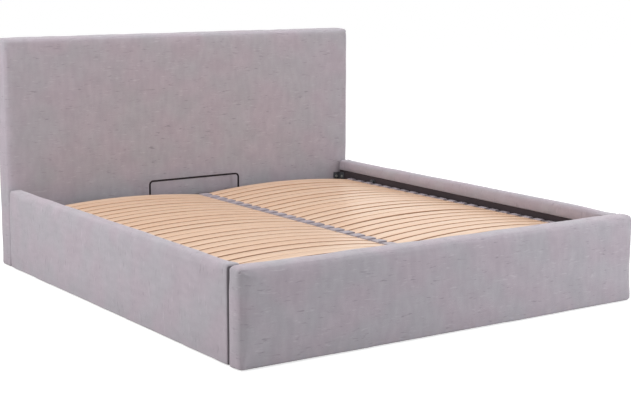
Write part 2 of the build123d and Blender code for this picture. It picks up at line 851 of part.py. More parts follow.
slats = [slat_solid(y, 0) for y in slat_centres()]
for first in range(0, slat_count, slats_per_group):
    group = slats[first:first + slats_per_group]
    number = str(first // slats_per_group + 1)
    save("right_slats_" + number, *group)
    save("left_slats_" + number, *[on_left(solid) for solid in group])
save("centre_slat_holders", *[centre_holder(y) for y in slat_centres()])
edge_holders = [edge_holder(y) for y in slat_centres()]
save("right_slat_holders", *edge_holders)
save("left_slat_holders", *[on_left(solid) for solid in edge_holders])
print("slats in each row", slat_count)
print("strut length", round(strut_length, 3), "angle", round(strut_angle, 4))
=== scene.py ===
"""Looks of a storage bed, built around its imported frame.

The covers, linings, slats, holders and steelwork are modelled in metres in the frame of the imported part:
+X across the bed, +Y towards the headboard, +Z up, with the origin on the floor under the middle.
"""

import json
import logging
import math
from dataclasses import dataclass
from enum import Enum
from typing import Callable, Sequence

import bmesh
import bpy
import numpy as np
from numpy.typing import NDArray
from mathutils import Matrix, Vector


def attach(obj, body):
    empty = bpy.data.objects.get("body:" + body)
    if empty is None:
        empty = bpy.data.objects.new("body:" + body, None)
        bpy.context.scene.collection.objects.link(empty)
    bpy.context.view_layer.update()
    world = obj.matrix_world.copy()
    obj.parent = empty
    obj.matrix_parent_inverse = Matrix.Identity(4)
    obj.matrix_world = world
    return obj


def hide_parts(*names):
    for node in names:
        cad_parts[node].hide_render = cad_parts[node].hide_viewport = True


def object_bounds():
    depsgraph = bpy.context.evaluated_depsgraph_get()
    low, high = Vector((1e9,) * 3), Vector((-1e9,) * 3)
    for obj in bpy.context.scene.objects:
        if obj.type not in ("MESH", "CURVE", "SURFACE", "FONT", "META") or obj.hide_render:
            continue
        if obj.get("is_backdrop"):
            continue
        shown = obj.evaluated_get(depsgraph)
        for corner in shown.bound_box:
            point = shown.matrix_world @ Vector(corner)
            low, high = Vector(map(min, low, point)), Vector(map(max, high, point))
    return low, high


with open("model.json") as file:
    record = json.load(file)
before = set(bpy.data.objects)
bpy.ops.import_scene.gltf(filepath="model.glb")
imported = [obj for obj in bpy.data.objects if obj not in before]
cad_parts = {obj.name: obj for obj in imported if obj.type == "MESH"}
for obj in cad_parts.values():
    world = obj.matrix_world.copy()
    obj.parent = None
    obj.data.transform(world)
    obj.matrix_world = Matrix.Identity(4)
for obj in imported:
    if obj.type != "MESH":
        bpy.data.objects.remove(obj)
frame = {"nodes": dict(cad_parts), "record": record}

Array = NDArray[np.float64]
Numbers = NDArray[np.int64]
Mask = NDArray[np.bool_]
Faces = Numbers | list[list[int]]
Triple = tuple[float, float, float]
Span = tuple[float, float]
Counts = tuple[int, int]
Waves = tuple[int, float, float]
Socket = bpy.types.NodeSocket
log = logging.getLogger("storage_bed")

MM = 0.001
TINY = 1e-9
FAR = 9.0
CLOTH_MAP = "cloth"
GRAIN_MAP = "grain"
# Vertex mark for painted shade inside the seams of the covers.
SEAM_SHADE_MARK = "seam"
COVER_SHARP = 70.0
STEEL_SHARP = 40.0
COPY_SHARP = 35.0
COPY_WELD = 0.01 * MM
COPY_FLAT = 0.8
COPY_EASED = 40.0
EDGE_REACH = 0.05
BACK_SHIFT = 0.4
INNER_SHIFT = 0.5
INNER_FROM = 0.03
LOW_ZONE = (0.09, 0.03)
UPPER_ZONE = (0.27, 0.35)
INNER_ZONE = (0.33, 0.35)
CREST_ZONE = (0.30, 0.365)


class Hand(Enum):
    """Left or right side of the bed, seen from its foot."""

    LEFT = -1
    RIGHT = 1

    @property
    def word(self) -> str:
        """The side's name, as the frame's nodes spell it."""
        return self.name.lower()


class Nap(Enum):
    """Which way the slubs of the cover cloth run on a panel."""

    LEVEL = "level"
    UPRIGHT = "upright"


# Meshes from whole arrays


def linked(name: str, data: bpy.types.ID) -> bpy.types.Object:
    """A new object in the scene.

    Args:
        name: Name of the object.
        data: Its mesh, lamp or camera.

    Returns:
        The object.
    """
    made = bpy.data.objects.new(name, data)
    bpy.context.scene.collection.objects.link(made)
    return made


def make_mesh(name: str, points: Array, faces: Faces, maps: dict[str, Array] | None = None,
              marks: dict[str, Array] | None = None, sharp_deg: float = 50.0) -> bpy.types.Object:
    """Makes a smooth-shaded mesh object from arrays.

    Args:
        name: Name of the object.
        points: Vertex places, one row each, in metres.
        faces: Vertex numbers of each face, counter-clockwise seen from outside.
        maps: UV maps by name, one row for each face corner.
        marks: Float attributes by name, one value for each vertex.
        sharp_deg: Edges that turn by more than this stay crisp.

    Returns:
        The new object, linked to the scene.
    """
    mesh = bpy.data.meshes.new(name)
    mesh.from_pydata(points, [], faces.tolist() if isinstance(faces, np.ndarray) else faces)
    mesh.polygons.foreach_set("use_smooth", np.ones(len(mesh.polygons), bool))
    for key, values in (maps or {}).items():
        layer = mesh.uv_layers.new(name=key)
        layer.data.foreach_set("uv", np.asarray(values, np.float32).ravel())
    for key, values in (marks or {}).items():
        mark = mesh.attributes.new(key, "FLOAT", "POINT")
        mark.data.foreach_set("value", np.asarray(values, np.float32))
    mesh.set_sharp_from_angle(angle=math.radians(sharp_deg))
    mesh.update()
    return linked(name, mesh)


def grid_quads(rows: int, columns: int, closed_rows: bool = False, closed_columns: bool = False) -> Numbers:
    """Quads of a grid of points: each cell joins its four corners, and a closed way its last line to its first.

    Args:
        rows: Number of rows of points.
        columns: Number of points in a row.
        closed_rows: True if the last row joins the first.
        closed_columns: True if the last column joins the first.

    Returns:
        Vertex numbers, four to a row.
    """
    row = np.arange(rows if closed_rows else rows - 1)
    column = np.arange(columns if closed_columns else columns - 1)
    i, j = np.meshgrid(row, column, indexing="ij")
    i_next, j_next = (i + 1) % rows, (j + 1) % columns
    corners = [i * columns + j, i_next * columns + j, i_next * columns + j_next, i * columns + j_next]
    return np.stack(corners, -1).reshape(-1, 4)


def arc_stops(radius: float, count: int, *beyond: float) -> Array:
    """Distances from an edge that rounding turns into equal steps of angle: radius times one minus the tangent.

    Args:
        radius: Radius of the rounded edge.
        count: Steps in an eighth of a turn.
        *beyond: Distances past the radius that are wanted too.

    Returns:
        Distances from zero up to the radius, and those beyond it.
    """
    return np.concatenate([radius * (1 - np.tan(np.linspace(math.pi / 4, 0, count + 1))), beyond])


def stops(low: float, high: float, step: float, near_low: Array, near_high: Array,
          also: Sequence[float] = ()) -> Array:
    """Places along an axis: close together near both ends, evenly spaced between, with some named places.

    Args:
        low: First place.
        high: Last place.
        step: Spacing of the even part, about.
        near_low: Distances from the first place.
        near_high: Distances from the last place.
        also: More places that are wanted exactly.

    Returns:
        The places in rising order, none closer than a tenth of a millimetre.
    """
    start, end = low + near_low.max(), high - near_high.max()
    even = np.linspace(start, end, max(2, round((end - start) / step) + 1))
    exact = np.array(sorted(also))
    loose = np.concatenate([low + near_low, even, high - near_high])
    if len(exact):
        loose = loose[np.abs(loose[:, None] - exact).min(axis=1) > 1.2 * MM]
    places = np.unique(np.round(np.concatenate([loose, exact, [low, high]]), 6))
    return places[np.concatenate([[True], np.diff(places) > 0.1 * MM])]


def middles(places: Sequence[Array]) -> list[Array]:
    """X, Y and Z of the middle of each lattice cell."""
    return np.meshgrid(*((some[1:] + some[:-1]) / 2 for some in places), indexing="ij")


def block_skin(places: Sequence[Array], filled: Mask) -> tuple[Array, Numbers, Numbers]:
    """Skin of a solid made of lattice cells: a quad for each wall between a filled cell and an empty one.

    Args:
        places: Lattice places along X, Y and Z.
        filled: True for each cell that is solid, one fewer than the places each way.

    Returns:
        The points, the quads, and the way each quad faces: 1, 2 or 3 for X, Y or Z, negative for backwards.
    """
    shape = tuple(len(some) for some in places)
    numbers = np.arange(math.prod(shape)).reshape(shape)
    around = np.pad(filled, 1).astype(np.int8)
    quads, facing = [], []
    for axis in range(3):
        crop = [slice(1, -1)] * 3
        crop[axis] = slice(None)
        wall = np.diff(around, axis=axis)[tuple(crop)]
        u, v = (k for k in range(3) if k != axis)
        corners = []
        for u_end, v_end in ((0, 0), (1, 0), (1, 1), (0, 1)):
            cut = [slice(None)] * 3
            cut[u], cut[v] = (slice(end, None if end else -1) for end in (u_end, v_end))
            corners.append(numbers[tuple(cut)])
        cell = np.stack(corners, -1)
        rising = 1 if axis == 1 else -1
        for change in (-1, 1):
            found = cell[wall == change]
            quads.append(found if change == rising else found[:, ::-1])
            facing.append(np.full(len(found), -change * (axis + 1)))
    cells = np.concatenate(quads)
    lattice = np.stack(np.meshgrid(*places, indexing="ij"), -1).reshape(-1, 3)
    used, renumbered = np.unique(cells, return_inverse=True)
    return lattice[used], renumbered.reshape(cells.shape), np.concatenate(facing)


def rounded(points: Array, low: Array, high: Array, low_radius: Array, high_radius: Array) -> Array:
    """Rounds the edges of a box and everything inside it.

    A point keeps its nearest place on the box drawn in by the radii. Its offset from there, counted in radii, is
    scaled to be as long as its largest part, which turns squares round that place into circles or ellipses.

    Args:
        points: Points in or on the box.
        low: Lowest corner of the box.
        high: Highest corner of the box.
        low_radius: Radius by point and axis at the low faces, zero for a way that isn't rounded.
        high_radius: The same at the high faces.

    Returns:
        The rounded points.
    """
    kept = np.clip(points, low + low_radius, high - high_radius)
    offset = points - kept
    share = np.abs(offset) / np.maximum(np.where(offset < 0, low_radius, high_radius), TINY)
    length = np.linalg.norm(share, axis=1, keepdims=True)
    return kept + offset * share.max(axis=1, keepdims=True) / np.maximum(length, TINY)


def by_axis(x: Array | float, y: Array | float, z: Array | float, count: int) -> Array:
    """Three columns from three numbers or arrays."""
    return np.stack([np.broadcast_to(value, (count,)) for value in (x, y, z)], 1)


def smooth_step(values: Array, start: float, end: float) -> Array:
    """Zero before the start, one past the end, and an S curve between. The end may be the lower of the two."""
    t = np.clip((values - start) / (end - start), 0, 1)
    return t * t * (3 - 2 * t)


def between(start: Array | float, end: Array | float, share: Array) -> Array:
    """The value that lies the given share of the way from the start to the end."""
    return start + (end - start) * share


def bell(distance: Array, width: float) -> Array:
    """One at no distance, and falling off as a bell curve of the given width."""
    return np.exp(-(distance / width) ** 2)


def point_normals(points: Array, quads: Numbers) -> Array:
    """Normal at each point: the sum of its faces' normals, each the cross product of the face's diagonals.

    Args:
        points: The points.
        quads: Vertex numbers, four to a row.

    Returns:
        A vector of length one for each point.
    """
    a, b, c, d = (points[quads[:, k]] for k in range(4))
    face = np.cross(c - a, d - b)
    total = np.zeros_like(points)
    for k in range(4):
        np.add.at(total, quads[:, k], face)
    return total / np.maximum(np.linalg.norm(total, axis=1, keepdims=True), TINY)


def soft_waves(points: Array, seed: int, shortest: float, longest: float, count: int = 14) -> Array:
    """Gentle unevenness: the sum of sine waves that run in random ways with random lengths, scaled to about one.

    Args:
        points: Where it is wanted.
        seed: Start of the random draws.
        shortest: Shortest wave.
        longest: Longest wave.
        count: Number of waves.

    Returns:
        A value for each point, mostly from minus one to one.
    """
    draw = np.random.default_rng(seed)
    way = draw.normal(size=(count, 3))
    way /= np.linalg.norm(way, axis=1, keepdims=True)
    length = np.exp(draw.uniform(math.log(shortest), math.log(longest), count))
    phase = draw.uniform(0, 2 * math.pi, count)
    waves = np.sin(points @ (way * (2 * math.pi / length)[:, None]).T + phase)
    return waves.sum(axis=1) / math.sqrt(count)


def tube_along(path: Array, radius: float, sides: int) -> tuple[Array, Faces]:
    """Round bar along a path in an upright XZ plane: each ring stands square to the path there.

    Args:
        path: Points of the centreline.
        radius: Radius of the bar.
        sides: Points in a ring.

    Returns:
        The points and faces, with both ends closed.
    """
    ahead = np.gradient(path, axis=0)
    ahead /= np.linalg.norm(ahead, axis=1, keepdims=True)
    across = np.array([0.0, 1.0, 0.0])
    up = np.cross(ahead, across)
    turn = np.linspace(0, 2 * math.pi, sides, endpoint=False)[None, :, None]
    rings = path[:, None] + radius * (np.cos(turn) * across + np.sin(turn) * up[:, None])
    faces = grid_quads(len(path), sides, closed_columns=True)[:, ::-1].tolist()
    last = (len(path) - 1) * sides
    faces += [list(range(sides)), list(range(last + sides - 1, last - 1, -1))]
    return rings.reshape(-1, 3), faces


def ring_of(width: float, height: float, radius: float, steps: int = 3) -> Array:
    """Rounded rectangle: four quarter circles about the corners of the rectangle drawn in by the radius.

    Args:
        width: Size across.
        height: Size upwards.
        radius: Corner radius.
        steps: Steps in each corner.

    Returns:
        Points counter-clockwise, as rows of two.
    """
    turn = (np.arange(4)[:, None] * 90 + np.linspace(0, 90, steps + 1)) * math.pi / 180
    sign = np.array([[1, 1], [-1, 1], [-1, -1], [1, -1]])
    centre = sign * (np.array([width, height]) / 2 - radius)
    around = np.stack([np.cos(turn), np.sin(turn)], -1) * radius
    return (centre[:, None] + around).reshape(-1, 2)


def merged(parts: Sequence[tuple[Array, Faces]]) -> tuple[Array, list[list[int]]]:
    """Joins several sets of points and faces into one, numbering the faces onwards.

    Args:
        parts: Points and faces of each set.

    Returns:
        All the points and all the faces.
    """
    points, faces, first = [], [], 0
    for some, cells in parts:
        points.append(some)
        faces += [[first + int(k) for k in cell] for cell in cells]
        first += len(some)
    return np.concatenate(points), faces


# Materials


class Nodes:
    """A node tree, with short calls that add a node and join its inputs."""

    def __init__(self, tree: bpy.types.NodeTree) -> None:
        """Keeps the tree that nodes are added to."""
        self.tree = tree

    def join(self, node: bpy.types.Node, inputs: dict[int | str, object]) -> None:
        """Joins sockets to a node's inputs, or sets them.

        Args:
            node: The node.
            inputs: Sockets or values, by input number or name.
        """
        for key, value in inputs.items():
            if isinstance(value, Socket):
                self.tree.links.new(value, node.inputs[key])
            else:
                node.inputs[key].default_value = value

    def add(self, kind: str, inputs: dict[int | str, object] | None = None,
            **settings: object) -> bpy.types.Node:
        """Adds a node.

        Args:
            kind: Blender's name of the node type, without the words ShaderNode before it.
            inputs: Sockets to join or values to set, by input number or name.
            **settings: Properties of the node.

        Returns:
            The new node.
        """
        node = self.tree.nodes.new("ShaderNode" + kind)
        for key, value in settings.items():
            setattr(node, key, value)
        self.join(node, inputs or {})
        return node

    def mark(self, name: str) -> Socket:
        """A number that the mesh holds for each vertex."""
        return self.add("Attribute", attribute_name=name).outputs["Fac"]

    def group(self, tree: bpy.types.NodeTree, *given: object) -> list[Socket]:
        """Places a node group with its inputs in order, and returns its outputs."""
        return list(self.add("Group", dict(enumerate(given)), node_tree=tree).outputs)

    def math(self, operation: str, a: object, b: object = 0.0) -> Socket:
        """A number worked out from one or two others."""
        return self.add("Math", {0: a, 1: b}, operation=operation).outputs[0]

    def times(self, a: object, b: object) -> Socket:
        """The product of two numbers."""
        return self.math("MULTIPLY", a, b)

    def spread(self, value: object, low: float, high: float, start: float = 0.0, end: float = 1.0) -> Socket:
        """A value mapped from the range low to high onto start to end, held at its ends."""
        inputs = {0: value, 1: low, 2: high, 3: start, 4: end}
        return self.add("MapRange", inputs, interpolation_type="SMOOTHSTEP").outputs[0]

    def blend(self, amount: object, *pair: Socket | Array) -> Socket:
        """A colour between two others, each a socket or three plain numbers."""
        a, b = (colour if isinstance(colour, Socket) else (*colour, 1.0) for colour in pair)
        return self.add("Mix", {0: amount, 6: a, 7: b}, data_type="RGBA").outputs[2]

    def scaled(self, place: object, scale: Triple) -> Socket:
        """Coordinates multiplied axis by axis."""
        return self.add("VectorMath", {0: place, 1: scale}, operation="MULTIPLY").outputs[0]

    def point(self, x: object, y: object, z: object) -> Socket:
        """Coordinates from three numbers."""
        return self.add("CombineXYZ", {0: x, 1: y, 2: z}).outputs[0]

    def noise(self, place: object, scale: object, detail: float = 1.0, rough: float = 0.5) -> Socket:
        """Cloudy noise, about one half on average."""
        inputs = {"Vector": place, "Scale": scale, "Detail": detail, "Roughness": rough}
        return self.add("TexNoise", inputs).outputs[0]

    def bump(self, height: object, distance: float, strength: float) -> Socket:
        """A normal that follows a height."""
        return self.add("Bump", {"Height": height, "Distance": distance, "Strength": strength}).outputs[0]


def effect(name: str, inputs: dict[str, float | None], outputs: Sequence[str],
           fill: Callable[..., Sequence[Socket]]) -> bpy.types.NodeTree:
    """A shader node group that several materials place, made the first time it is asked for.

    Args:
        name: Name of the group.
        inputs: Usual value by input name, or None for an input that takes coordinates.
        outputs: Names of the outputs, which are all values.
        fill: Adds the nodes, given the tree and a socket for each input, and returns a socket for each output.

    Returns:
        The group's tree.
    """
    if name in bpy.data.node_groups:
        return bpy.data.node_groups[name]
    tree = bpy.data.node_groups.new(name, "ShaderNodeTree")
    for key, value in inputs.items():
        kind = "NodeSocketVector" if value is None else "NodeSocketFloat"
        socket = tree.interface.new_socket(key, in_out="INPUT", socket_type=kind)
        if value is not None:
            socket.default_value = value
    for key in outputs:
        tree.interface.new_socket(key, in_out="OUTPUT", socket_type="NodeSocketFloat")
    nodes = Nodes(tree)
    entry = list(tree.nodes.new("NodeGroupInput").outputs)[:len(inputs)]
    nodes.join(tree.nodes.new("NodeGroupOutput"), dict(enumerate(fill(nodes, *entry))))
    return tree


def woven_yarn() -> bpy.types.NodeTree:
    """Group for cloth: thick and thin stretches of yarn, and the ribs of the weave."""

    def fill(nodes: Nodes, place: Socket, length: Socket, thick: Socket, yarn: Socket) -> Sequence[Socket]:
        """Adds the nodes.

        Args:
            nodes: The tree to add to.
            place: Coordinates on the surface.
            length: Length of a slub.
            thick: Thickness of a slub.
            yarn: Spacing of the yarns.

        Returns:
            Light slubs, dark slubs and the height of the weave.
        """
        across, up = list(nodes.add("SeparateXYZ", {0: place}).outputs)[:2]
        u, v = nodes.math("DIVIDE", across, length), nodes.math("DIVIDE", up, thick)
        slub = nodes.noise(nodes.point(u, v, 0.37), 1.0)
        sparse = nodes.noise(nodes.point(nodes.times(u, 0.45), nodes.times(v, 0.2), 3.1), 1.0)
        kept = nodes.spread(sparse, 0.44, 0.62, 0.15, 1.0)
        rows = nodes.math("DIVIDE", up, yarn)
        tufts = nodes.math("DIVIDE", across, nodes.times(yarn, 1.7))
        rib = nodes.math("SINE", nodes.times(rows, 2 * math.pi))
        tuft = nodes.noise(nodes.point(tufts, rows, 0.0), 1.0, 2.0, 0.6)
        light = nodes.times(kept, nodes.spread(slub, 0.60, 0.74))
        dark = nodes.times(kept, nodes.spread(slub, 0.38, 0.25))
        return [light, dark, nodes.math("ADD", nodes.times(rib, 0.14), tuft)]

    inputs = {"Cloth": None, "Slub Length": 0.03, "Slub Thickness": 0.003, "Yarn": 0.0015}
    return effect("woven_yarn", inputs, ["Light Slub", "Dark Slub", "Weave"], fill)


def nap_clouds() -> bpy.types.NodeTree:
    """Group for cloth: soft patches of turned pile, upright streaks and a slow drift of tint."""

    def fill(nodes: Nodes, place: Socket, size: Socket) -> Sequence[Socket]:
        """Adds the nodes.

        Args:
            nodes: The tree to add to.
            place: Coordinates on the surface.
            size: Size of the pattern.

        Returns:
            Clouds, streaks and tint.
        """
        rate = nodes.math("DIVIDE", 1.0, size)
        cloud = nodes.noise(place, rate, 3.0, 0.55)
        streak = nodes.noise(nodes.scaled(place, (1.0, 0.34, 1.0)), nodes.times(rate, 3.4), 2.5)
        tint = nodes.noise(place, nodes.times(rate, 0.45))
        return [nodes.spread(cloud, 0.3, 0.7), nodes.spread(streak, 0.3, 0.7), nodes.spread(tint, 0.35, 0.65)]

    return effect("nap_clouds", {"Cloth": None, "Size": 0.1}, ["Cloud", "Streak", "Tint"], fill)


def wood_fibre() -> bpy.types.NodeTree:
    """Group for timber: the long figure of the grain and its short pores, along the first coordinate."""

    def fill(nodes: Nodes, place: Socket, width: Socket) -> Sequence[Socket]:
        """Adds the nodes.

        Args:
            nodes: The tree to add to.
            place: Coordinates on the surface.
            width: Width of the pattern.

        Returns:
            Figure and pores.
        """
        rate = nodes.math("DIVIDE", 1.0, width)
        bend = nodes.noise(nodes.scaled(place, (1.5, 1.5, 1.5)), 1.0)
        sway = nodes.point(0.0, nodes.times(bend, nodes.times(width, 3.0)), 0.0)
        along = nodes.scaled(place, (0.045, 1.0, 1.0))
        moved = nodes.add("VectorMath", {0: along, 1: sway}, operation="ADD").outputs[0]
        figure = nodes.noise(moved, rate, 3.0, 0.6)
        pores = nodes.noise(nodes.scaled(place, (0.06, 1.0, 1.0)), nodes.times(rate, 9.0))
        return [nodes.spread(figure, 0.32, 0.68), nodes.spread(pores, 0.56, 0.75)]

    return effect("wood_fibre", {"Place": None, "Width": 0.012}, ["Figure", "Pores"], fill)


def skin_grit() -> bpy.types.NodeTree:
    """Group for plastic, paint and metal: fine grit in the skin, and slow patches of handling."""

    def fill(nodes: Nodes, place: Socket, size: Socket) -> Sequence[Socket]:
        """Adds the nodes.

        Args:
            nodes: The tree to add to.
            place: Coordinates on the surface.
            size: Size of the pattern.

        Returns:
            Grit and patches.
        """
        rate = nodes.math("DIVIDE", 1.0, size)
        patch = nodes.noise(place, nodes.times(rate, 0.03), 3.0)
        return [nodes.noise(place, rate, 2.0, 0.6), nodes.spread(patch, 0.35, 0.65)]

    return effect("skin_grit", {"Place": None, "Size": 0.002}, ["Grit", "Patch"], fill)


@dataclass(frozen=True)
class Finish:
    """A finish that turns into one Blender material, made once."""

    name: str
    colour: Triple

    @property
    def base(self) -> Array:
        """The colour as an array."""
        return np.array(self.colour)

    def material(self) -> bpy.types.Material:
        """The finish's material.

        Returns:
            The material, built the first time it is asked for.
        """
        if self.name in bpy.data.materials:
            return bpy.data.materials[self.name]
        made = bpy.data.materials.new(self.name)
        made.use_nodes = True
        made.diffuse_color = (*self.colour, 1.0)
        made.node_tree.nodes.clear()
        nodes = Nodes(made.node_tree)
        shader = nodes.add("BsdfPrincipled")
        nodes.add("OutputMaterial", {0: shader.outputs[0]})
        nodes.join(shader, self.dress(nodes))
        return made

    def dress(self, nodes: Nodes) -> dict[str, object]:
        """Adds the nodes of the finish. Each kind of finish has its own.

        Args:
            nodes: The material's tree.

        Returns:
            What goes into the shader's inputs, by name.
        """
        raise NotImplementedError


@dataclass(frozen=True)
class Chenille(Finish):
    """Brushed chenille: short slubs in a soft pile, with clouded nap and a light sheen."""

    slub: float = 0.034
    slub_thickness: float = 0.0058
    yarn: float = 0.0016
    cloud: float = 0.085
    cloud_share: float = 0.22
    streak_share: float = 0.22
    dark_share: float = 0.70
    light_share: float = 0.36
    weave_share: float = 0.16
    seam_share: float = 0.72

    def dress(self, nodes: Nodes) -> dict[str, object]:
        """Slubs, clouds and streaks colour the pile, the weave and slubs raise it, and painted shade darkens the
        seams.

        Args:
            nodes: The material's tree.

        Returns:
            What goes into the shader's inputs, by name.
        """
        cloth = nodes.add("UVMap", uv_map=CLOTH_MAP).outputs[0]
        light, dark, weave = nodes.group(woven_yarn(), cloth, self.slub, self.slub_thickness, self.yarn)
        cloud, streak, tint = nodes.group(nap_clouds(), cloth, self.cloud)
        seam = nodes.mark(SEAM_SHADE_MARK)
        tone = nodes.blend(tint, self.base * (1.03, 0.985, 1.0), self.base * (0.97, 1.015, 1.0))
        tone = nodes.blend(nodes.times(cloud, self.cloud_share), tone, self.base * 1.36)
        tone = nodes.blend(nodes.times(streak, self.streak_share), tone, self.base * 0.74)
        tone = nodes.blend(nodes.times(dark, self.dark_share), tone, self.base * 0.62)
        tone = nodes.blend(nodes.times(light, self.light_share), tone, self.base * 1.45)
        tone = nodes.blend(nodes.spread(weave, 0.25, 0.75, self.weave_share, 0.0), tone, self.base * 0.5)
        # Painted shade: inside the seams the seam mark draws the cloth's colour down towards a fifth of it.
        tone = nodes.blend(nodes.times(seam, self.seam_share), tone, self.base * 0.2)
        height = nodes.math("ADD", weave, nodes.times(nodes.math("SUBTRACT", light, dark), 0.6))
        return {
            "Base Color": tone,
            "Roughness": nodes.spread(cloud, 0.0, 1.0, 0.82, 0.95),
            "Specular IOR Level": 0.22,
            "Sheen Weight": 0.28,
            "Sheen Roughness": 0.42,
            "Sheen Tint": (0.95, 0.95, 0.96, 1.0),
            "Normal": nodes.bump(height, 0.0009, 0.55),
        }


@dataclass(frozen=True)
class PlainCloth(Finish):
    """Thin pressed or woven cloth for linings and the back."""

    yarn: float = 0.0011
    rough: float = 0.9

    def dress(self, nodes: Nodes) -> dict[str, object]:
        """A fine weave and faint clouds over one dark colour.

        Args:
            nodes: The material's tree.

        Returns:
            What goes into the shader's inputs, by name.
        """
        cloth = nodes.add("UVMap", uv_map=CLOTH_MAP).outputs[0]
        weave = nodes.group(woven_yarn(), cloth, 0.02, 0.002, self.yarn)[2]
        cloud = nodes.group(nap_clouds(), cloth, 0.16)[0]
        tone = nodes.blend(cloud, self.base * 0.85, self.base * 1.2)
        return {
            "Base Color": nodes.blend(nodes.spread(weave, 0.2, 0.8, 0.35, 0.0), tone, self.base * 0.45),
            "Roughness": nodes.spread(cloud, 0.0, 1.0, self.rough - 0.08, self.rough),
            "Specular IOR Level": 0.3,
            "Normal": nodes.bump(weave, 0.0005, 0.5),
        }


@dataclass(frozen=True)
class BirchLaminate(Finish):
    """Bent birch laminate: pale face veneer, glued plies on the edges, and a thin satin lacquer."""

    ply: Triple = (0.27, 0.115, 0.045)
    plies: float = 5.0
    figure_width: float = 0.011
    own_share: float = 0.8
    pore_share: float = 0.16

    def dress(self, nodes: Nodes) -> dict[str, object]:
        """Grain follows each slat's own map, and the plies its depth and rim marks.

        Args:
            nodes: The material's tree.

        Returns:
            What goes into the shader's inputs, by name.
        """
        place = nodes.add("UVMap", uv_map=GRAIN_MAP).outputs[0]
        figure, pores = nodes.group(wood_fibre(), place, self.figure_width)
        rim, depth, own = (nodes.mark(name) for name in ("rim", "depth", "own"))
        face = nodes.blend(figure, self.base * (0.93, 0.87, 0.80), self.base * 1.04)
        face = nodes.blend(nodes.times(own, self.own_share), face, self.base * (0.96, 0.87, 0.80))
        face = nodes.blend(nodes.times(pores, self.pore_share), face, self.base * (0.72, 0.58, 0.46))
        band = nodes.math("PINGPONG", nodes.times(depth, self.plies), 0.5)
        edge = nodes.blend(nodes.spread(band, 0.1, 0.3), self.ply, self.base * (0.62, 0.44, 0.30))
        return {
            "Base Color": nodes.blend(rim, face, edge),
            "Roughness": nodes.spread(figure, 0.0, 1.0, 0.44, 0.34),
            "Specular IOR Level": 0.5,
            "Coat Weight": 0.25,
            "Coat Roughness": 0.28,
            "Normal": nodes.bump(nodes.math("SUBTRACT", figure, pores), 0.0002, 0.4),
        }


@dataclass(frozen=True)
class Timber(Finish):
    """Sawn softwood or pressed board, by the width of its figure, with its grain along one axis."""

    width: float = 0.02
    pore_share: float = 0.5
    along: int = 0

    def dress(self, nodes: Nodes) -> dict[str, object]:
        """Grain in the piece's own coordinates, turned to run along its length.

        Args:
            nodes: The material's tree.

        Returns:
            What goes into the shader's inputs, by name.
        """
        place = nodes.add("TexCoord").outputs["Object"]
        turn = ((0, 0, 0), (0, 0, -math.pi / 2), (0, math.pi / 2, 0))[self.along]
        place = nodes.add("Mapping", {"Vector": place, "Rotation": turn}).outputs[0]
        figure, pores = nodes.group(wood_fibre(), place, self.width)
        face = nodes.blend(figure, self.base * (0.84, 0.78, 0.7), self.base * 1.08)
        return {
            "Base Color": nodes.blend(nodes.times(pores, self.pore_share), face, self.base * 0.55),
            "Roughness": nodes.spread(figure, 0.0, 1.0, 0.78, 0.66),
            "Normal": nodes.bump(nodes.math("SUBTRACT", figure, pores), 0.0006, 0.5),
        }


@dataclass(frozen=True)
class Skin(Finish):
    """Moulded plastic, paint, rubber or metal: one colour with grit in its skin and patches of handling."""

    rough: float = 0.45
    spread: float = 0.12
    grit: float = 0.0012
    raise_by: float = 0.00012
    metal: float = 0.0
    coat: float = 0.0
    contrast: float = 0.12
    shine: float = 0.5

    def dress(self, nodes: Nodes) -> dict[str, object]:
        """Grit raises the skin, and patches shift its colour and roughness a little.

        Args:
            nodes: The material's tree.

        Returns:
            What goes into the shader's inputs, by name.
        """
        place = nodes.add("TexCoord").outputs["Object"]
        grit, patch = nodes.group(skin_grit(), place, self.grit)
        tone = nodes.blend(patch, self.base * (1 - self.contrast), self.base * (1 + self.contrast))
        low, high = (self.rough + k * self.spread / 2 for k in (-1, 1))
        return {
            "Base Color": nodes.blend(nodes.spread(grit, 0.3, 0.7, 0.12, 0.0), tone, self.base * 0.7),
            "Metallic": self.metal,
            "Specular IOR Level": self.shine,
            "Roughness": nodes.spread(patch, 0.0, 1.0, low, high),
            "Coat Weight": self.coat,
            "Coat Roughness": 0.2,
            "Normal": nodes.bump(grit, self.raise_by, 0.6),
        }


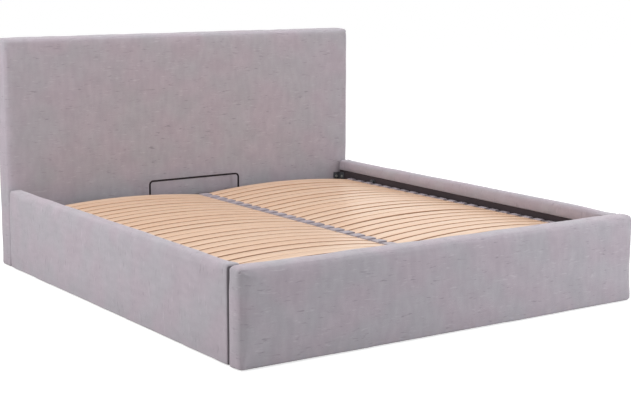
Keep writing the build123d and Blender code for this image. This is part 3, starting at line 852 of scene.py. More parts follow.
@dataclass(frozen=True)
class Finishes:
    """Every finish of the bed."""

    cover: Chenille = Chenille("lilac_chenille", (0.391, 0.350, 0.387))
    lining: PlainCloth = PlainCloth("dark_lining", (0.052, 0.038, 0.043))
    back_cloth: PlainCloth = PlainCloth("black_back_cloth", (0.028, 0.028, 0.030), yarn=0.0016, rough=0.95)
    birch: BirchLaminate = BirchLaminate("lacquered_birch", (0.66, 0.475, 0.345))
    timber: Timber = Timber("sawn_pine", (0.56, 0.40, 0.24), width=0.016, pore_share=0.35, along=2)
    batten: Timber = Timber("pine_batten", (0.54, 0.38, 0.23), width=0.016, pore_share=0.35)
    board: Timber = Timber("pressed_board", (0.42, 0.30, 0.19), width=0.004, pore_share=0.7)
    floor_sheet: Timber = Timber("fibreboard", (0.50, 0.38, 0.27), width=0.003, pore_share=0.25)
    holder: Skin = Skin("lilac_grey_plastic", (0.30, 0.262, 0.292), 0.42, 0.10, grit=0.0016, raise_by=0.0001)
    black_plastic: Skin = Skin("black_plastic", (0.02, 0.02, 0.021), 0.50, 0.12)
    rubber: Skin = Skin("bumper_rubber", (0.025, 0.024, 0.023), 0.80, 0.10, grit=0.0009, raise_by=0.0002)
    zinc: Skin = Skin("zinc_plate", (0.62, 0.61, 0.57), 0.34, 0.18, grit=0.003, raise_by=0.00006,
                      metal=1.0, contrast=0.1)
    dark_zinc: Skin = Skin("blackened_zinc", (0.07, 0.068, 0.066), 0.48, 0.14, grit=0.002, raise_by=0.00006,
                           metal=0.7)
    bracket: Skin = Skin("bracket_steel", (0.024, 0.021, 0.022), 0.55, 0.16, grit=0.0015, raise_by=0.00008,
                         shine=0.3)
    rod: Skin = Skin("polished_rod", (0.70, 0.70, 0.71), 0.16, 0.06, grit=0.004, raise_by=0.00001,
                     metal=1.0, contrast=0.04)
    strut: Skin = Skin("strut_paint", (0.018, 0.018, 0.019), 0.30, 0.10, grit=0.0009, raise_by=0.00006, coat=0.4)
    paint: Skin = Skin("frame_paint", (0.045, 0.044, 0.047), 0.42, 0.14, grit=0.0011, raise_by=0.0001, coat=0.15)
    wire: Skin = Skin("black_wire_coat", (0.010, 0.006, 0.008), 0.60, 0.10, grit=0.0009, raise_by=0.00008,
                      shine=0.15)


BODIES: dict[str, str] = {
    node: body for body, nodes in frame["record"]["behaviour"]["bodies"].items() for node in nodes
}


def adopt(piece: bpy.types.Object, finish: Finish, node: str) -> bpy.types.Object:
    """Gives a new piece its finish, and puts it in the place of the frame's node that it stands for.

    Args:
        piece: The new piece.
        finish: Its finish.
        node: The node it replaces.

    Returns:
        The piece.
    """
    piece.data.materials.clear()
    piece.data.materials.append(finish.material())
    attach(piece, BODIES[node])
    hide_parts(node)
    log.info("%s: %d faces, %s, on %s", piece.name, len(piece.data.polygons), finish.name, BODIES[node])
    return piece


def dress_node(node: str, finish: Finish) -> None:
    """Gives a node of the frame that stays in view its finish.

    Args:
        node: The node.
        finish: Its finish.
    """
    piece = frame["nodes"][node]
    if not piece.material_slots:
        piece.data.materials.append(finish.material())
    for place in piece.material_slots:
        place.material = finish.material()
    log.info("%s: kept from the frame, %s", node, finish.name)


def eased_copy(node: str, name: str, width: float) -> bpy.types.Object:
    """A copy of a frame node with its facets joined and its edges eased by a bevel.

    Args:
        node: The node to copy.
        name: Name of the new piece.
        width: Width of the bevel.

    Returns:
        The copy, whose object sits at the origin.
    """
    work = bmesh.new()
    work.from_mesh(frame["nodes"][node].data)
    bmesh.ops.remove_doubles(work, verts=work.verts, dist=COPY_WELD)
    bmesh.ops.dissolve_limit(work, angle_limit=math.radians(COPY_FLAT), verts=work.verts, edges=work.edges)
    mesh = bpy.data.meshes.new(name)
    work.to_mesh(mesh)
    work.free()
    mesh.polygons.foreach_set("use_smooth", np.ones(len(mesh.polygons), bool))
    mesh.set_sharp_from_angle(angle=math.radians(COPY_SHARP))
    piece = linked(name, mesh)
    bevel = piece.modifiers.new("ease", "BEVEL")
    bevel.limit_method = "ANGLE"
    bevel.angle_limit = math.radians(COPY_EASED)
    bevel.width = width
    bevel.segments = 2
    bevel.harden_normals = True
    return piece


@dataclass
class Assembly:
    """A sub-assembly of the bed, which builds its pieces and gives them the bed's finishes."""

    finishes: Finishes

    def build(self) -> None:
        """Builds and dresses every piece. Each sub-assembly has its own."""
        raise NotImplementedError


# Upholstery


@dataclass(frozen=True)
class Settling:
    """Cloth simulation of a cover: the padding presses the cloth outwards while seams and hidden faces hold it.

    The loose cloth starts a little shy of its place, because it swells.
    """

    shy: float = 0.0013
    pressure: float = 4.0
    frames: int = 18
    cap: float = 0.0028
    levels: int = 20
    give: float = 0.85
    quality: int = 5
    mass: float = 0.3
    stretch: float = 15.0
    shear: float = 5.0
    bending: float = 0.6

    def run(self, piece: bpy.types.Object, loose: Array) -> None:
        """Runs the simulation, and writes its capped moves into the piece's mesh.

        A move of length d becomes cap times the hyperbolic tangent of d over cap, so none passes the cap.

        Args:
            piece: The cover.
            loose: How free each vertex is, from zero at a seam to one.
        """
        group = piece.vertex_groups.new(name="held")
        held = np.round((1 - loose * self.give) * self.levels).astype(int)
        for level in range(1, self.levels + 1):
            group.add(np.flatnonzero(held == level).tolist(), level / self.levels, "REPLACE")
        cloth = piece.modifiers.new("settle", "CLOTH")
        cloth.settings.quality = self.quality
        cloth.settings.mass = self.mass
        cloth.settings.tension_stiffness = cloth.settings.compression_stiffness = self.stretch
        cloth.settings.shear_stiffness = self.shear
        cloth.settings.bending_stiffness = self.bending
        cloth.settings.use_pressure = True
        cloth.settings.uniform_pressure_force = self.pressure
        cloth.settings.effector_weights.gravity = 0
        cloth.settings.vertex_group_mass = group.name
        cloth.collision_settings.use_collision = False
        cloth.point_cache.frame_start, cloth.point_cache.frame_end = 1, self.frames
        for number in range(1, self.frames + 1):
            bpy.context.scene.frame_set(number)
        before, after = (np.zeros(len(loose) * 3, np.float32) for _ in range(2))
        piece.data.vertices.foreach_get("co", before)
        piece.evaluated_get(bpy.context.evaluated_depsgraph_get()).data.vertices.foreach_get("co", after)
        move = (after - before).reshape(-1, 3)
        length = np.maximum(np.linalg.norm(move, axis=1, keepdims=True), TINY)
        capped = move / length * self.cap * np.tanh(length / self.cap)
        piece.modifiers.remove(cloth)
        piece.vertex_groups.remove(group)
        piece.data.vertices.foreach_set("co", before + capped.ravel())
        piece.data.update()
        bpy.context.scene.frame_set(1)
        log.info("%s: settled, longest move %.1f mm before the cap", piece.name, length.max() / MM)


def laid_flat(corner: Array, facing: Numbers, nap: Nap, front: float) -> Array:
    """Unfolded cloth for each face corner, in metres.

    The flat front keeps its own two coordinates. On the top, the sides and the lip the distance from the front
    is added, as if the cloth were laid flat again. Inner faces are moved on, so they don't repeat the front.

    Args:
        corner: Place of each corner of each quad.
        facing: The way that each quad faces.
        nap: Which way the slubs run.
        front: Y of the front of a cross panel, or X of the outer face of a side rail.

    Returns:
        Two numbers for each corner of each quad.
    """
    way = np.abs(facing)[:, None]
    side = np.sign(facing)[:, None]
    x, y, z = (corner[..., k] for k in range(3))
    if nap is Nap.LEVEL:
        u = x + np.where(way == 1, side * (y - front), 0.0)
        v = z + np.where(way == 3, y - front, 0.0) + np.where((way == 2) & (side > 0), BACK_SHIFT, 0.0)
    else:
        inward = np.abs(x - front)
        inner = (way == 1) & (inward > INNER_FROM)
        u = z + np.where(way == 3, inward, 0.0) + np.where(inner, INNER_SHIFT, 0.0)
        v = y + np.where(way == 2, inward, 0.0)
    return np.stack([u, v], -1)


class Cover:
    """A padded cloth cover while it is shaped: the skin of lattice cells, open where its board goes in.

    It is drawn in where the padding gives way, rounded, made a little uneven along its normals, and settled.
    """

    def __init__(self, name: str, low: Array, high: Array, places: Sequence[Array], filled: Mask,
                 nap: Nap) -> None:
        """Takes the skin of the filled cells, and the cloth map while it is still square.

        Args:
            name: Name of the piece.
            low: Lowest corner of the box that the outer cloth keeps to.
            high: Highest corner of that box.
            places: Lattice places along X, Y and Z.
            filled: True for each cell that is filled.
            nap: Which way the slubs run.
        """
        self.name, self.low, self.high = name, low, high
        self.points, self.quads, facing = block_skin(places, filled)
        self.cloth = laid_flat(self.points[self.quads], facing, nap, low[1] if nap is Nap.LEVEL else high[0])
        on = (np.abs(self.points - low) < TINY) | (np.abs(self.points - high) < TINY)
        self.skin = (on[:, 0] | on[:, 1] | (self.points[:, 2] > high[2] - TINY)).astype(float)

    def draw_in(self, reach: float, give: float) -> None:
        """Draws the front in near its ends and top, most at the edge and less with distance by an exponential.

        Args:
            reach: How far behind the front the cloth is still drawn in.
            give: How far the edge is drawn in.
        """
        x, y, z = self.points.T
        away = (self.high[0] - x, x - self.low[0], self.high[2] - z)
        edges = sum(np.exp(-np.maximum(some, 0) / EDGE_REACH) for some in away)
        self.points[:, 1] = y + smooth_step(y, self.low[1] + reach, self.low[1]) * give * edges

    def round(self, low_radii: Sequence[Array | float], high_radii: Sequence[Array | float]) -> Array:
        """The points with the box's edges rounded, by a radius for each axis at its low and high faces."""
        radii = (by_axis(*some, len(self.points)) for some in (low_radii, high_radii))
        return rounded(self.points, self.low, self.high, *radii)

    def raise_by(self, lift: Array, loose: Array, settling: Settling) -> None:
        """Moves the points along their normals, and keeps the outer cloth within its box.

        Args:
            lift: How far each point is raised.
            loose: How free each point is in the simulation.
            settling: The simulation, which the loose cloth starts a little shy for.
        """
        raised = self.points + point_normals(self.points, self.quads) * (lift - loose * settling.shy)[:, None]
        self.points = np.where(self.skin[:, None] > 0, np.clip(raised, self.low, self.high), raised)

    def piece(self, loose: Array, settling: Settling, seam: Array | None = None,
              hand: Hand = Hand.RIGHT) -> bpy.types.Object:
        """Makes and settles the mesh.

        Args:
            loose: How free each point is in the simulation.
            settling: The simulation.
            seam: How deep in a seam each point lies, from zero to one, for the painted shade that darkens the
                cloth there.
            hand: The left one is the mirror image of what was shaped.

        Returns:
            The cover, in place.
        """
        points, quads, cloth = self.points, self.quads, self.cloth
        if hand is Hand.LEFT:
            points, quads, cloth = points * (-1.0, 1.0, 1.0), quads[:, ::-1], cloth[:, ::-1]
        marks = {} if seam is None else {SEAM_SHADE_MARK: seam}
        piece = make_mesh(self.name, points, quads, {CLOTH_MAP: cloth}, marks, COVER_SHARP)
        settling.run(piece, loose)
        return piece


def stretched_sheet(name: str, along: Array, up: Array, axis: int, away: Callable[[Array], Array], depth: float,
                    backwards: bool = True) -> bpy.types.Object:
    """An upright sheet of thin cloth over a grid, whose map is read off its own length and height.

    Args:
        name: Name of the piece.
        along: Places along its length.
        up: Heights.
        axis: The axis of its length, 0 for X and 1 for Y.
        away: Tells the place on the third axis from the flat grid's points.
        depth: Thickness of the cloth, half to each side.
        backwards: True if the grid's own quads face inwards.

    Returns:
        The sheet, in place.
    """
    flat = np.zeros((len(along), len(up), 3))
    flat[..., axis], flat[..., 2] = np.meshgrid(along, up, indexing="ij")
    flat = flat.reshape(-1, 3)
    points = flat.copy()
    points[:, 1 - axis] = away(flat)
    quads = grid_quads(len(along), len(up))
    quads = quads[:, ::-1] if backwards else quads
    piece = make_mesh(name, points, quads, {CLOTH_MAP: flat[:, [axis, 2]][quads]})
    solid = piece.modifiers.new("depth", "SOLIDIFY")
    solid.thickness = depth
    solid.offset = 0.0
    return piece


@dataclass
class Headboard(Assembly):
    """Upholstered headboard: a padded cover over a board and timber frame, and a stretched cloth behind them."""

    half_width: float = 0.970
    front: float = 0.999
    back: float = 1.093
    bottom: float = 0.005
    top: float = 1.0735
    front_pad: float = 0.022
    edge_pad: float = 0.010
    front_radius: float = 0.021
    back_radius: float = 0.005
    side_radius: float = 0.019
    top_radius: float = 0.016
    lean: float = 0.0035
    lean_reach: float = 0.055
    low_side_radius: float = 0.0080
    low_radius: float = 0.034
    low_edge: float = 0.006
    low_zone: Span = (0.14, 0.05)
    timber_share: float = 0.85
    give: float = 0.0016
    give_reach: float = 0.030
    unevenness: float = 0.0008
    slack: float = 0.0005
    calm_share: float = 0.9
    calm_height: float = 0.06
    steps: Triple = (0.022, 0.014, 0.022)
    side_stops: Triple = (0.034, 0.048, 0.066)
    upper_stops: Triple = (0.024, 0.036, 0.054)
    side_zone: Span = (0.05, 0.02)
    timber_zone: Span = (0.030, 0.020)
    ripple_reach: float = 0.05
    back_hold: Span = (0.010, 0.060)
    low_hold: Span = (0.020, 0.080)
    waves: Waves = (11, 0.11, 0.5)
    ripple: Waves = (12, 0.05, 0.12)
    settling: Settling = Settling(shy=0.0015)
    sheet_inset: float = 0.006
    sheet_low: float = 0.0006
    sheet_points: Counts = (121, 67)
    sheet_offset: float = 0.0011
    sheet_depth: float = 0.0007
    sheet_unevenness: float = 0.00022
    sheet_waves: Waves = (23, 0.05, 0.2)
    sag: float = 0.0028
    post_half: float = 0.030
    bay_end: float = 0.900
    low_bay: Span = (0.065, 0.340)
    high_bay: Span = (0.400, 1.000)
    low_bay_share: float = 0.7

    def cover(self) -> bpy.types.Object:
        """Builds the padded cover. Its lower corners are rounder in front, where no timber stands close.

        Returns:
            The cover, in place.
        """
        low = np.array([-self.half_width, self.front, self.bottom])
        high = np.array([self.half_width, self.back, self.top])
        core_x, core_y = self.half_width - self.edge_pad, self.front + self.front_pad
        core_z = self.top - self.edge_pad
        side = arc_stops(self.side_radius, 6, *self.side_stops)
        upper = arc_stops(self.top_radius, 6, *self.upper_stops)
        front, back = arc_stops(self.front_radius, 6), arc_stops(self.back_radius, 2)
        step_x, step_y, step_z = self.steps
        places = (stops(low[0], high[0], step_x, side, side, (-core_x, core_x)),
                  stops(low[1], high[1], step_y, front, back, (core_y,)),
                  stops(low[2], high[2], step_z, arc_stops(self.low_radius, 5), upper, (core_z,)))
        x, y, z = middles(places)
        filled = ~((np.abs(x) < core_x) & (y > core_y) & (z < core_z))
        form = Cover("headboard_upholstery", low, high, places, filled, Nap.LEVEL)

        form.draw_in(self.give_reach, self.give)
        x, y, z = form.points.T
        across = between(self.side_radius, self.low_side_radius, smooth_step(z, *self.low_zone))
        outside = smooth_step(np.abs(x), *(self.half_width - away for away in self.side_zone))
        timber = smooth_step(y, self.front + self.timber_zone[0], self.back - self.timber_zone[1])
        outside = outside * (1 - self.timber_share * timber)
        under = between(self.low_edge, self.low_radius, outside)
        form.points = form.round((across, self.front_radius, under), (across, self.back_radius, self.top_radius))
        lean = self.lean / self.half_width * bell(self.top - form.points[:, 2], self.lean_reach)
        form.points[:, 0] *= 1 - lean

        y, z = form.points[:, 1:].T
        waves = soft_waves(form.points, *self.waves)
        ripple = soft_waves(form.points, *self.ripple) * smooth_step(z, self.top - self.ripple_reach, self.top)
        loose = form.skin * smooth_step(y, *(self.back - away for away in self.back_hold))
        loose = loose * smooth_step(z, *(self.bottom + above for above in self.low_hold))
        above = 1 - self.calm_share * smooth_step(z, self.bottom + self.calm_height, self.bottom)
        lift = form.skin * (waves * self.unevenness + (ripple - 1.0) * self.slack) * above
        form.raise_by(lift, loose, self.settling)
        return form.piece(loose, self.settling)

    def sunk(self, flat: Array) -> Array:
        """Y of the back cloth: it sags into each bay between the timbers as a product of two half sine waves.

        Args:
            flat: Points of the flat sheet.

        Returns:
            Y of each point.
        """

        def half_wave(values: Array, start: float, end: float) -> Array:
            """A half sine wave from the start to the end, and zero outside them."""
            return np.sin(math.pi * np.clip((values - start) / (end - start), 0, 1))

        x, _, z = flat.T
        heights = self.low_bay_share * half_wave(z, *self.low_bay) + half_wave(z, *self.high_bay)
        sag = self.sag * half_wave(np.abs(x), self.post_half, self.bay_end) * heights
        return self.back + self.sheet_offset - sag + self.sheet_unevenness * soft_waves(flat, *self.sheet_waves)

    def build(self) -> None:
        """Builds and dresses the headboard."""
        cover = adopt(self.cover(), self.finishes.cover, "headboard_cover")
        reach = self.half_width - self.sheet_inset
        x = np.linspace(-reach, reach, self.sheet_points[0])
        z = np.linspace(self.bottom + self.sheet_low, self.top - self.sheet_inset, self.sheet_points[1])
        back = stretched_sheet("headboard_back_sheet", x, z, 0, self.sunk, self.sheet_depth)
        adopt(back, self.finishes.back_cloth, "headboard_back_cloth")
        dress_node("headboard_board", self.finishes.board)
        dress_node("headboard_frame", self.finishes.timber)


@dataclass
class Lined(Assembly):
    """Sizes that the side rails and the footboard share: their height, lip and lining."""

    bottom: float = 0.005
    top: float = 0.372
    lip_pad: float = 0.012
    top_pad: float = 0.016
    lip_bottom: float = 0.306
    lip_radius: float = 0.005
    unevenness: float = 0.0009
    ripple_share: float = 0.5
    crest_rise: float = 0.0011
    crest_slack: float = 1.2
    crest_calm: float = 0.5
    low_hold: Span = (0.015, 0.060)
    settling: Settling = Settling()
    lining_low: float = 0.008
    lining_gap: float = 0.0009
    lining_wave: float = 0.0003
    lining_reach: Span = (0.08, 0.4)
    lining_depth: float = 0.0008

    def roll_lip(self, form: Cover, lip: Mask, low: Triple, high: Triple, ways: Triple) -> None:
        """Rounds the lower edge of the lip.

        Args:
            form: The cover.
            lip: True for each point of the lip.
            low: Lowest corner of the lip, far away where it has none.
            high: Highest corner of the lip, far away where it has none.
            ways: The radius at the low faces, and last the one at the high Y face, as ones and zeros.
        """
        along_x, along_y, behind = (self.lip_radius * way for way in ways)
        count = int(lip.sum())
        low_radii = by_axis(along_x, along_y, self.lip_radius, count)
        high_radii = by_axis(0.0, behind, 0.0, count)
        form.points[lip] = rounded(form.points[lip], np.array(low), np.array(high), low_radii, high_radii)

    def uneven(self, points: Array, waves: Sequence[Waves], shown: Array | float = 1.0,
               shift: int = 0) -> Array:
        """How far the padding rises or sinks: long waves, short ones, and a slow roll of its own along the top.

        Args:
            points: Points of the rounded cover.
            waves: Seed, shortest and longest wave of the three.
            shown: How far each point is out of a seam, from zero to one.
            shift: Added to the seeds.

        Returns:
            The rise of each point.
        """
        long, short, crest = (soft_waves(points, seed + shift, *reach) for seed, *reach in waves)
        high_up = smooth_step(points[:, 2], *CREST_ZONE)
        swell = shown * (long + self.ripple_share * short) * self.unevenness * (1 - self.crest_calm * high_up)
        return swell + high_up * (crest - self.crest_slack) * self.crest_rise

    def loose_above(self, z: Array) -> Array:
        """How free the cloth is by its height: held near the floor, and free above it."""
        return smooth_step(z, *(self.bottom + above for above in self.low_hold))

    def off_board(self, flat: Array, seed: int) -> Array:
        """How far the lining hangs off its board: a small gap and shallow waves."""
        return self.lining_gap + self.lining_wave * soft_waves(flat, seed, *self.lining_reach)


@dataclass
class SideRail(Lined):
    """One upholstered side rail: a padded cover with a rolled top and an inner lip, and a dark lining below it.

    Past each end of the padding a thin tongue of the cover goes on over the board's end, and closes the seam.
    """

    hand: Hand = Hand.RIGHT
    inner: float = 0.906
    outer: float = 0.970
    foot: float = -1.015
    head: float = 0.999
    outer_pad: float = 0.014
    lip_rise: Span = (0.003, 0.011)
    seam_gap: float = 0.0056
    head_gap: float = 0.0040
    head_shade: float = 0.45
    foot_dip: float = 0.0
    board_cover: float = 0.0014
    end_radius: float = 0.013
    end_roll: float = 0.015
    head_end_roll: float = 0.026
    end_side_radius: float = 0.012
    end_zone: Span = (0.006, 0.075)
    end_share: float = 0.25
    roll_zone: Span = (0.35, 0.98)
    shade_zone: Span = (0.4, 0.6)
    seam_zone: Span = (0.0045, 0.0005)
    lip_fade: Span = (0.045, 0.006)
    low_side_radius: float = 0.013
    inner_edge: float = 0.006
    foot_roll: Span = (0.019, 0.034)
    head_roll: Span = (0.022, 0.027)
    inner_roll: Span = (0.015, 0.018)
    low_radius: float = 0.010
    dip_reach: float = 0.11
    dip_from: float = 0.010
    crown_zone: Span = (0.020, 0.024)
    steps: Triple = (0.006, 0.020, 0.018)
    foot_stops: Triple = (0.021, 0.030, 0.044)
    head_stops: Span = (0.034, 0.048)
    crown_stop: float = 0.046
    lining_end: float = 0.002
    lining_over: float = 0.006
    lining_points: Counts = (110, 20)
    waves: tuple[Waves, ...] = ((31, 0.12, 0.6), (36, 0.06, 0.2), (41, 0.16, 0.7))
    lining_seed: int = 51

    def lattice(self, low: Array, high: Array) -> tuple[tuple[Array, Array, Array], Mask]:
        """Places of the rail's lattice, and which of its cells are filled.

        Args:
            low: Lowest corner of the padding.
            high: Highest corner of the padding.

        Returns:
            The places along X, Y and Z, and true for each filled cell.
        """
        board_in, board_out = self.inner + self.lip_pad, self.outer - self.outer_pad
        board_top = self.top - self.top_pad
        seam_in, seam_out = self.inner + self.lip_pad / 2, self.outer - self.end_side_radius
        seam_top = self.top - self.end_side_radius
        foot_end = arc_stops(self.end_roll, 5, *self.foot_stops)
        head_end = arc_stops(self.head_end_roll, 6, *self.head_stops)
        inner, outer = arc_stops(self.inner_roll[0], 4), arc_stops(self.head_roll[0], 6)
        under, crown = arc_stops(self.low_radius, 4), arc_stops(self.foot_roll[1], 7, self.crown_stop)
        step_x, step_y, step_z = self.steps
        padded = stops(low[1], high[1], step_y, foot_end, head_end)
        places = (stops(low[0], high[0], step_x, inner, outer, (seam_in, board_in, board_out, seam_out)),
                  np.concatenate([[self.foot], padded, [self.head]]),
                  stops(low[2], high[2], step_z, under, crown, (self.lip_bottom, board_top, seam_top)))
        x, y, z = middles(places)
        core = (x > board_in) & (x < board_out) & (z < board_top)
        in_seam = ((y < low[1]) | (y > high[1])) & ((x < seam_in) | (x > seam_out) | (z > seam_top))
        return places, ~(core | in_seam | ((x < board_in) & (z < self.lip_bottom)))

    def cover(self) -> bpy.types.Object:
        """Builds the padded cover as a right one.

        Returns:
            The cover, in place.
        """
        low = np.array([self.inner, self.foot + self.seam_gap, self.bottom])
        high = np.array([self.outer, self.head - self.head_gap, self.top])
        name = f"{self.hand.word}_rail_upholstery"
        form = Cover(name, low, high, *self.lattice(low, high), Nap.UPRIGHT)
        x, y, z = form.points.T
        along = (y - self.foot) / (self.head - self.foot)
        from_end = np.minimum(y - low[1], high[1] - y)
        lip = (x < self.inner + self.lip_pad + TINY) & (z > self.lip_bottom - TINY)
        self.roll_lip(form, lip, (self.inner, -FAR, self.lip_bottom), (FAR, FAR, FAR), (1, 0, 0))
        fade = smooth_step(z, *(self.lip_bottom + above for above in self.lip_fade))
        form.points[:, 2] += lip * between(*self.lip_rise, along) * fade
        self.roll_edges(form, along, from_end)

        z = form.points[:, 2]
        middle = smooth_step(from_end, *self.end_zone)
        uneven = self.uneven(form.points, self.waves, shift=self.hand.value)
        lift = form.skin * between(self.end_share, 1.0, middle) * uneven
        loose = form.skin * middle * self.loose_above(z)
        form.raise_by(lift, loose, self.settling)
        # Painted shade inside the seams at the rail's ends, weaker towards the head.
        shade = between(1.0, self.head_shade, smooth_step(along, *self.shade_zone))
        seam = smooth_step(from_end, *self.seam_zone) * shade
        return form.piece(loose, self.settling, seam, self.hand)

    def roll_edges(self, form: Cover, along: Array, from_end: Array) -> None:
        """Rounds the padding by radii that change along the rail, and lets its top sink at the foot end.

        Args:
            form: The cover.
            along: How far along the rail each point is, from zero at the foot to one at the head.
            from_end: Distance of each point from the nearer end of the padding, negative in a seam.
        """
        x, _, z = form.points.T
        headness = smooth_step(along, *self.roll_zone)
        roll_x, roll_z = (between(foot, head, headness) for foot, head in zip(self.foot_roll, self.head_roll))
        side_x = between(self.end_side_radius, roll_x, smooth_step(from_end, *self.end_zone))
        side_x = between(side_x, np.minimum(side_x, self.low_side_radius), smooth_step(z, *LOW_ZONE))
        crown = smooth_step(x, self.inner + self.crown_zone[0], self.outer - self.crown_zone[1])
        top_z = between(self.inner_roll[1], roll_z, crown)
        upper = smooth_step(z, *UPPER_ZONE)
        foot_y, head_y = (between(self.end_radius, roll, upper) for roll in (self.end_roll, self.head_end_roll))
        inner_x = between(self.inner_edge, self.inner_roll[0], smooth_step(z, *INNER_ZONE))
        turned = form.round((inner_x, foot_y, self.low_radius), (side_x, head_y, top_z))
        points = np.where(from_end[:, None] > -TINY, turned, form.points)
        dip = self.foot_dip * smooth_step(points[:, 2], self.lip_bottom + self.dip_from, self.top)
        sunk = points[:, 2] - dip * bell(points[:, 1] - form.low[1], self.dip_reach)
        points[:, 2] = np.maximum(sunk, np.minimum(points[:, 2], self.top - self.top_pad + self.board_cover))
        form.points = points

    def hung(self, flat: Array) -> Array:
        """X of the lining, just inside the board."""
        off = self.off_board(flat, self.lining_seed + self.hand.value)
        return self.hand.value * (self.inner + self.lip_pad - off)

    def build(self) -> None:
        """Builds and dresses the rail."""
        word = self.hand.word
        cover = adopt(self.cover(), self.finishes.cover, f"{word}_rail_cover")
        along, upwards = self.lining_points
        y = np.linspace(self.foot + self.lining_end, self.head - self.lining_end, along)
        z = np.linspace(self.lining_low, self.lip_bottom + self.lip_rise[1] + self.lining_over, upwards)
        lining = stretched_sheet(f"{word}_rail_dark_lining", y, z, 1, self.hung, self.lining_depth,
                                 self.hand is Hand.RIGHT)
        adopt(lining, self.finishes.lining, f"{word}_rail_lining")
        dress_node(f"{word}_rail_board", self.finishes.board)


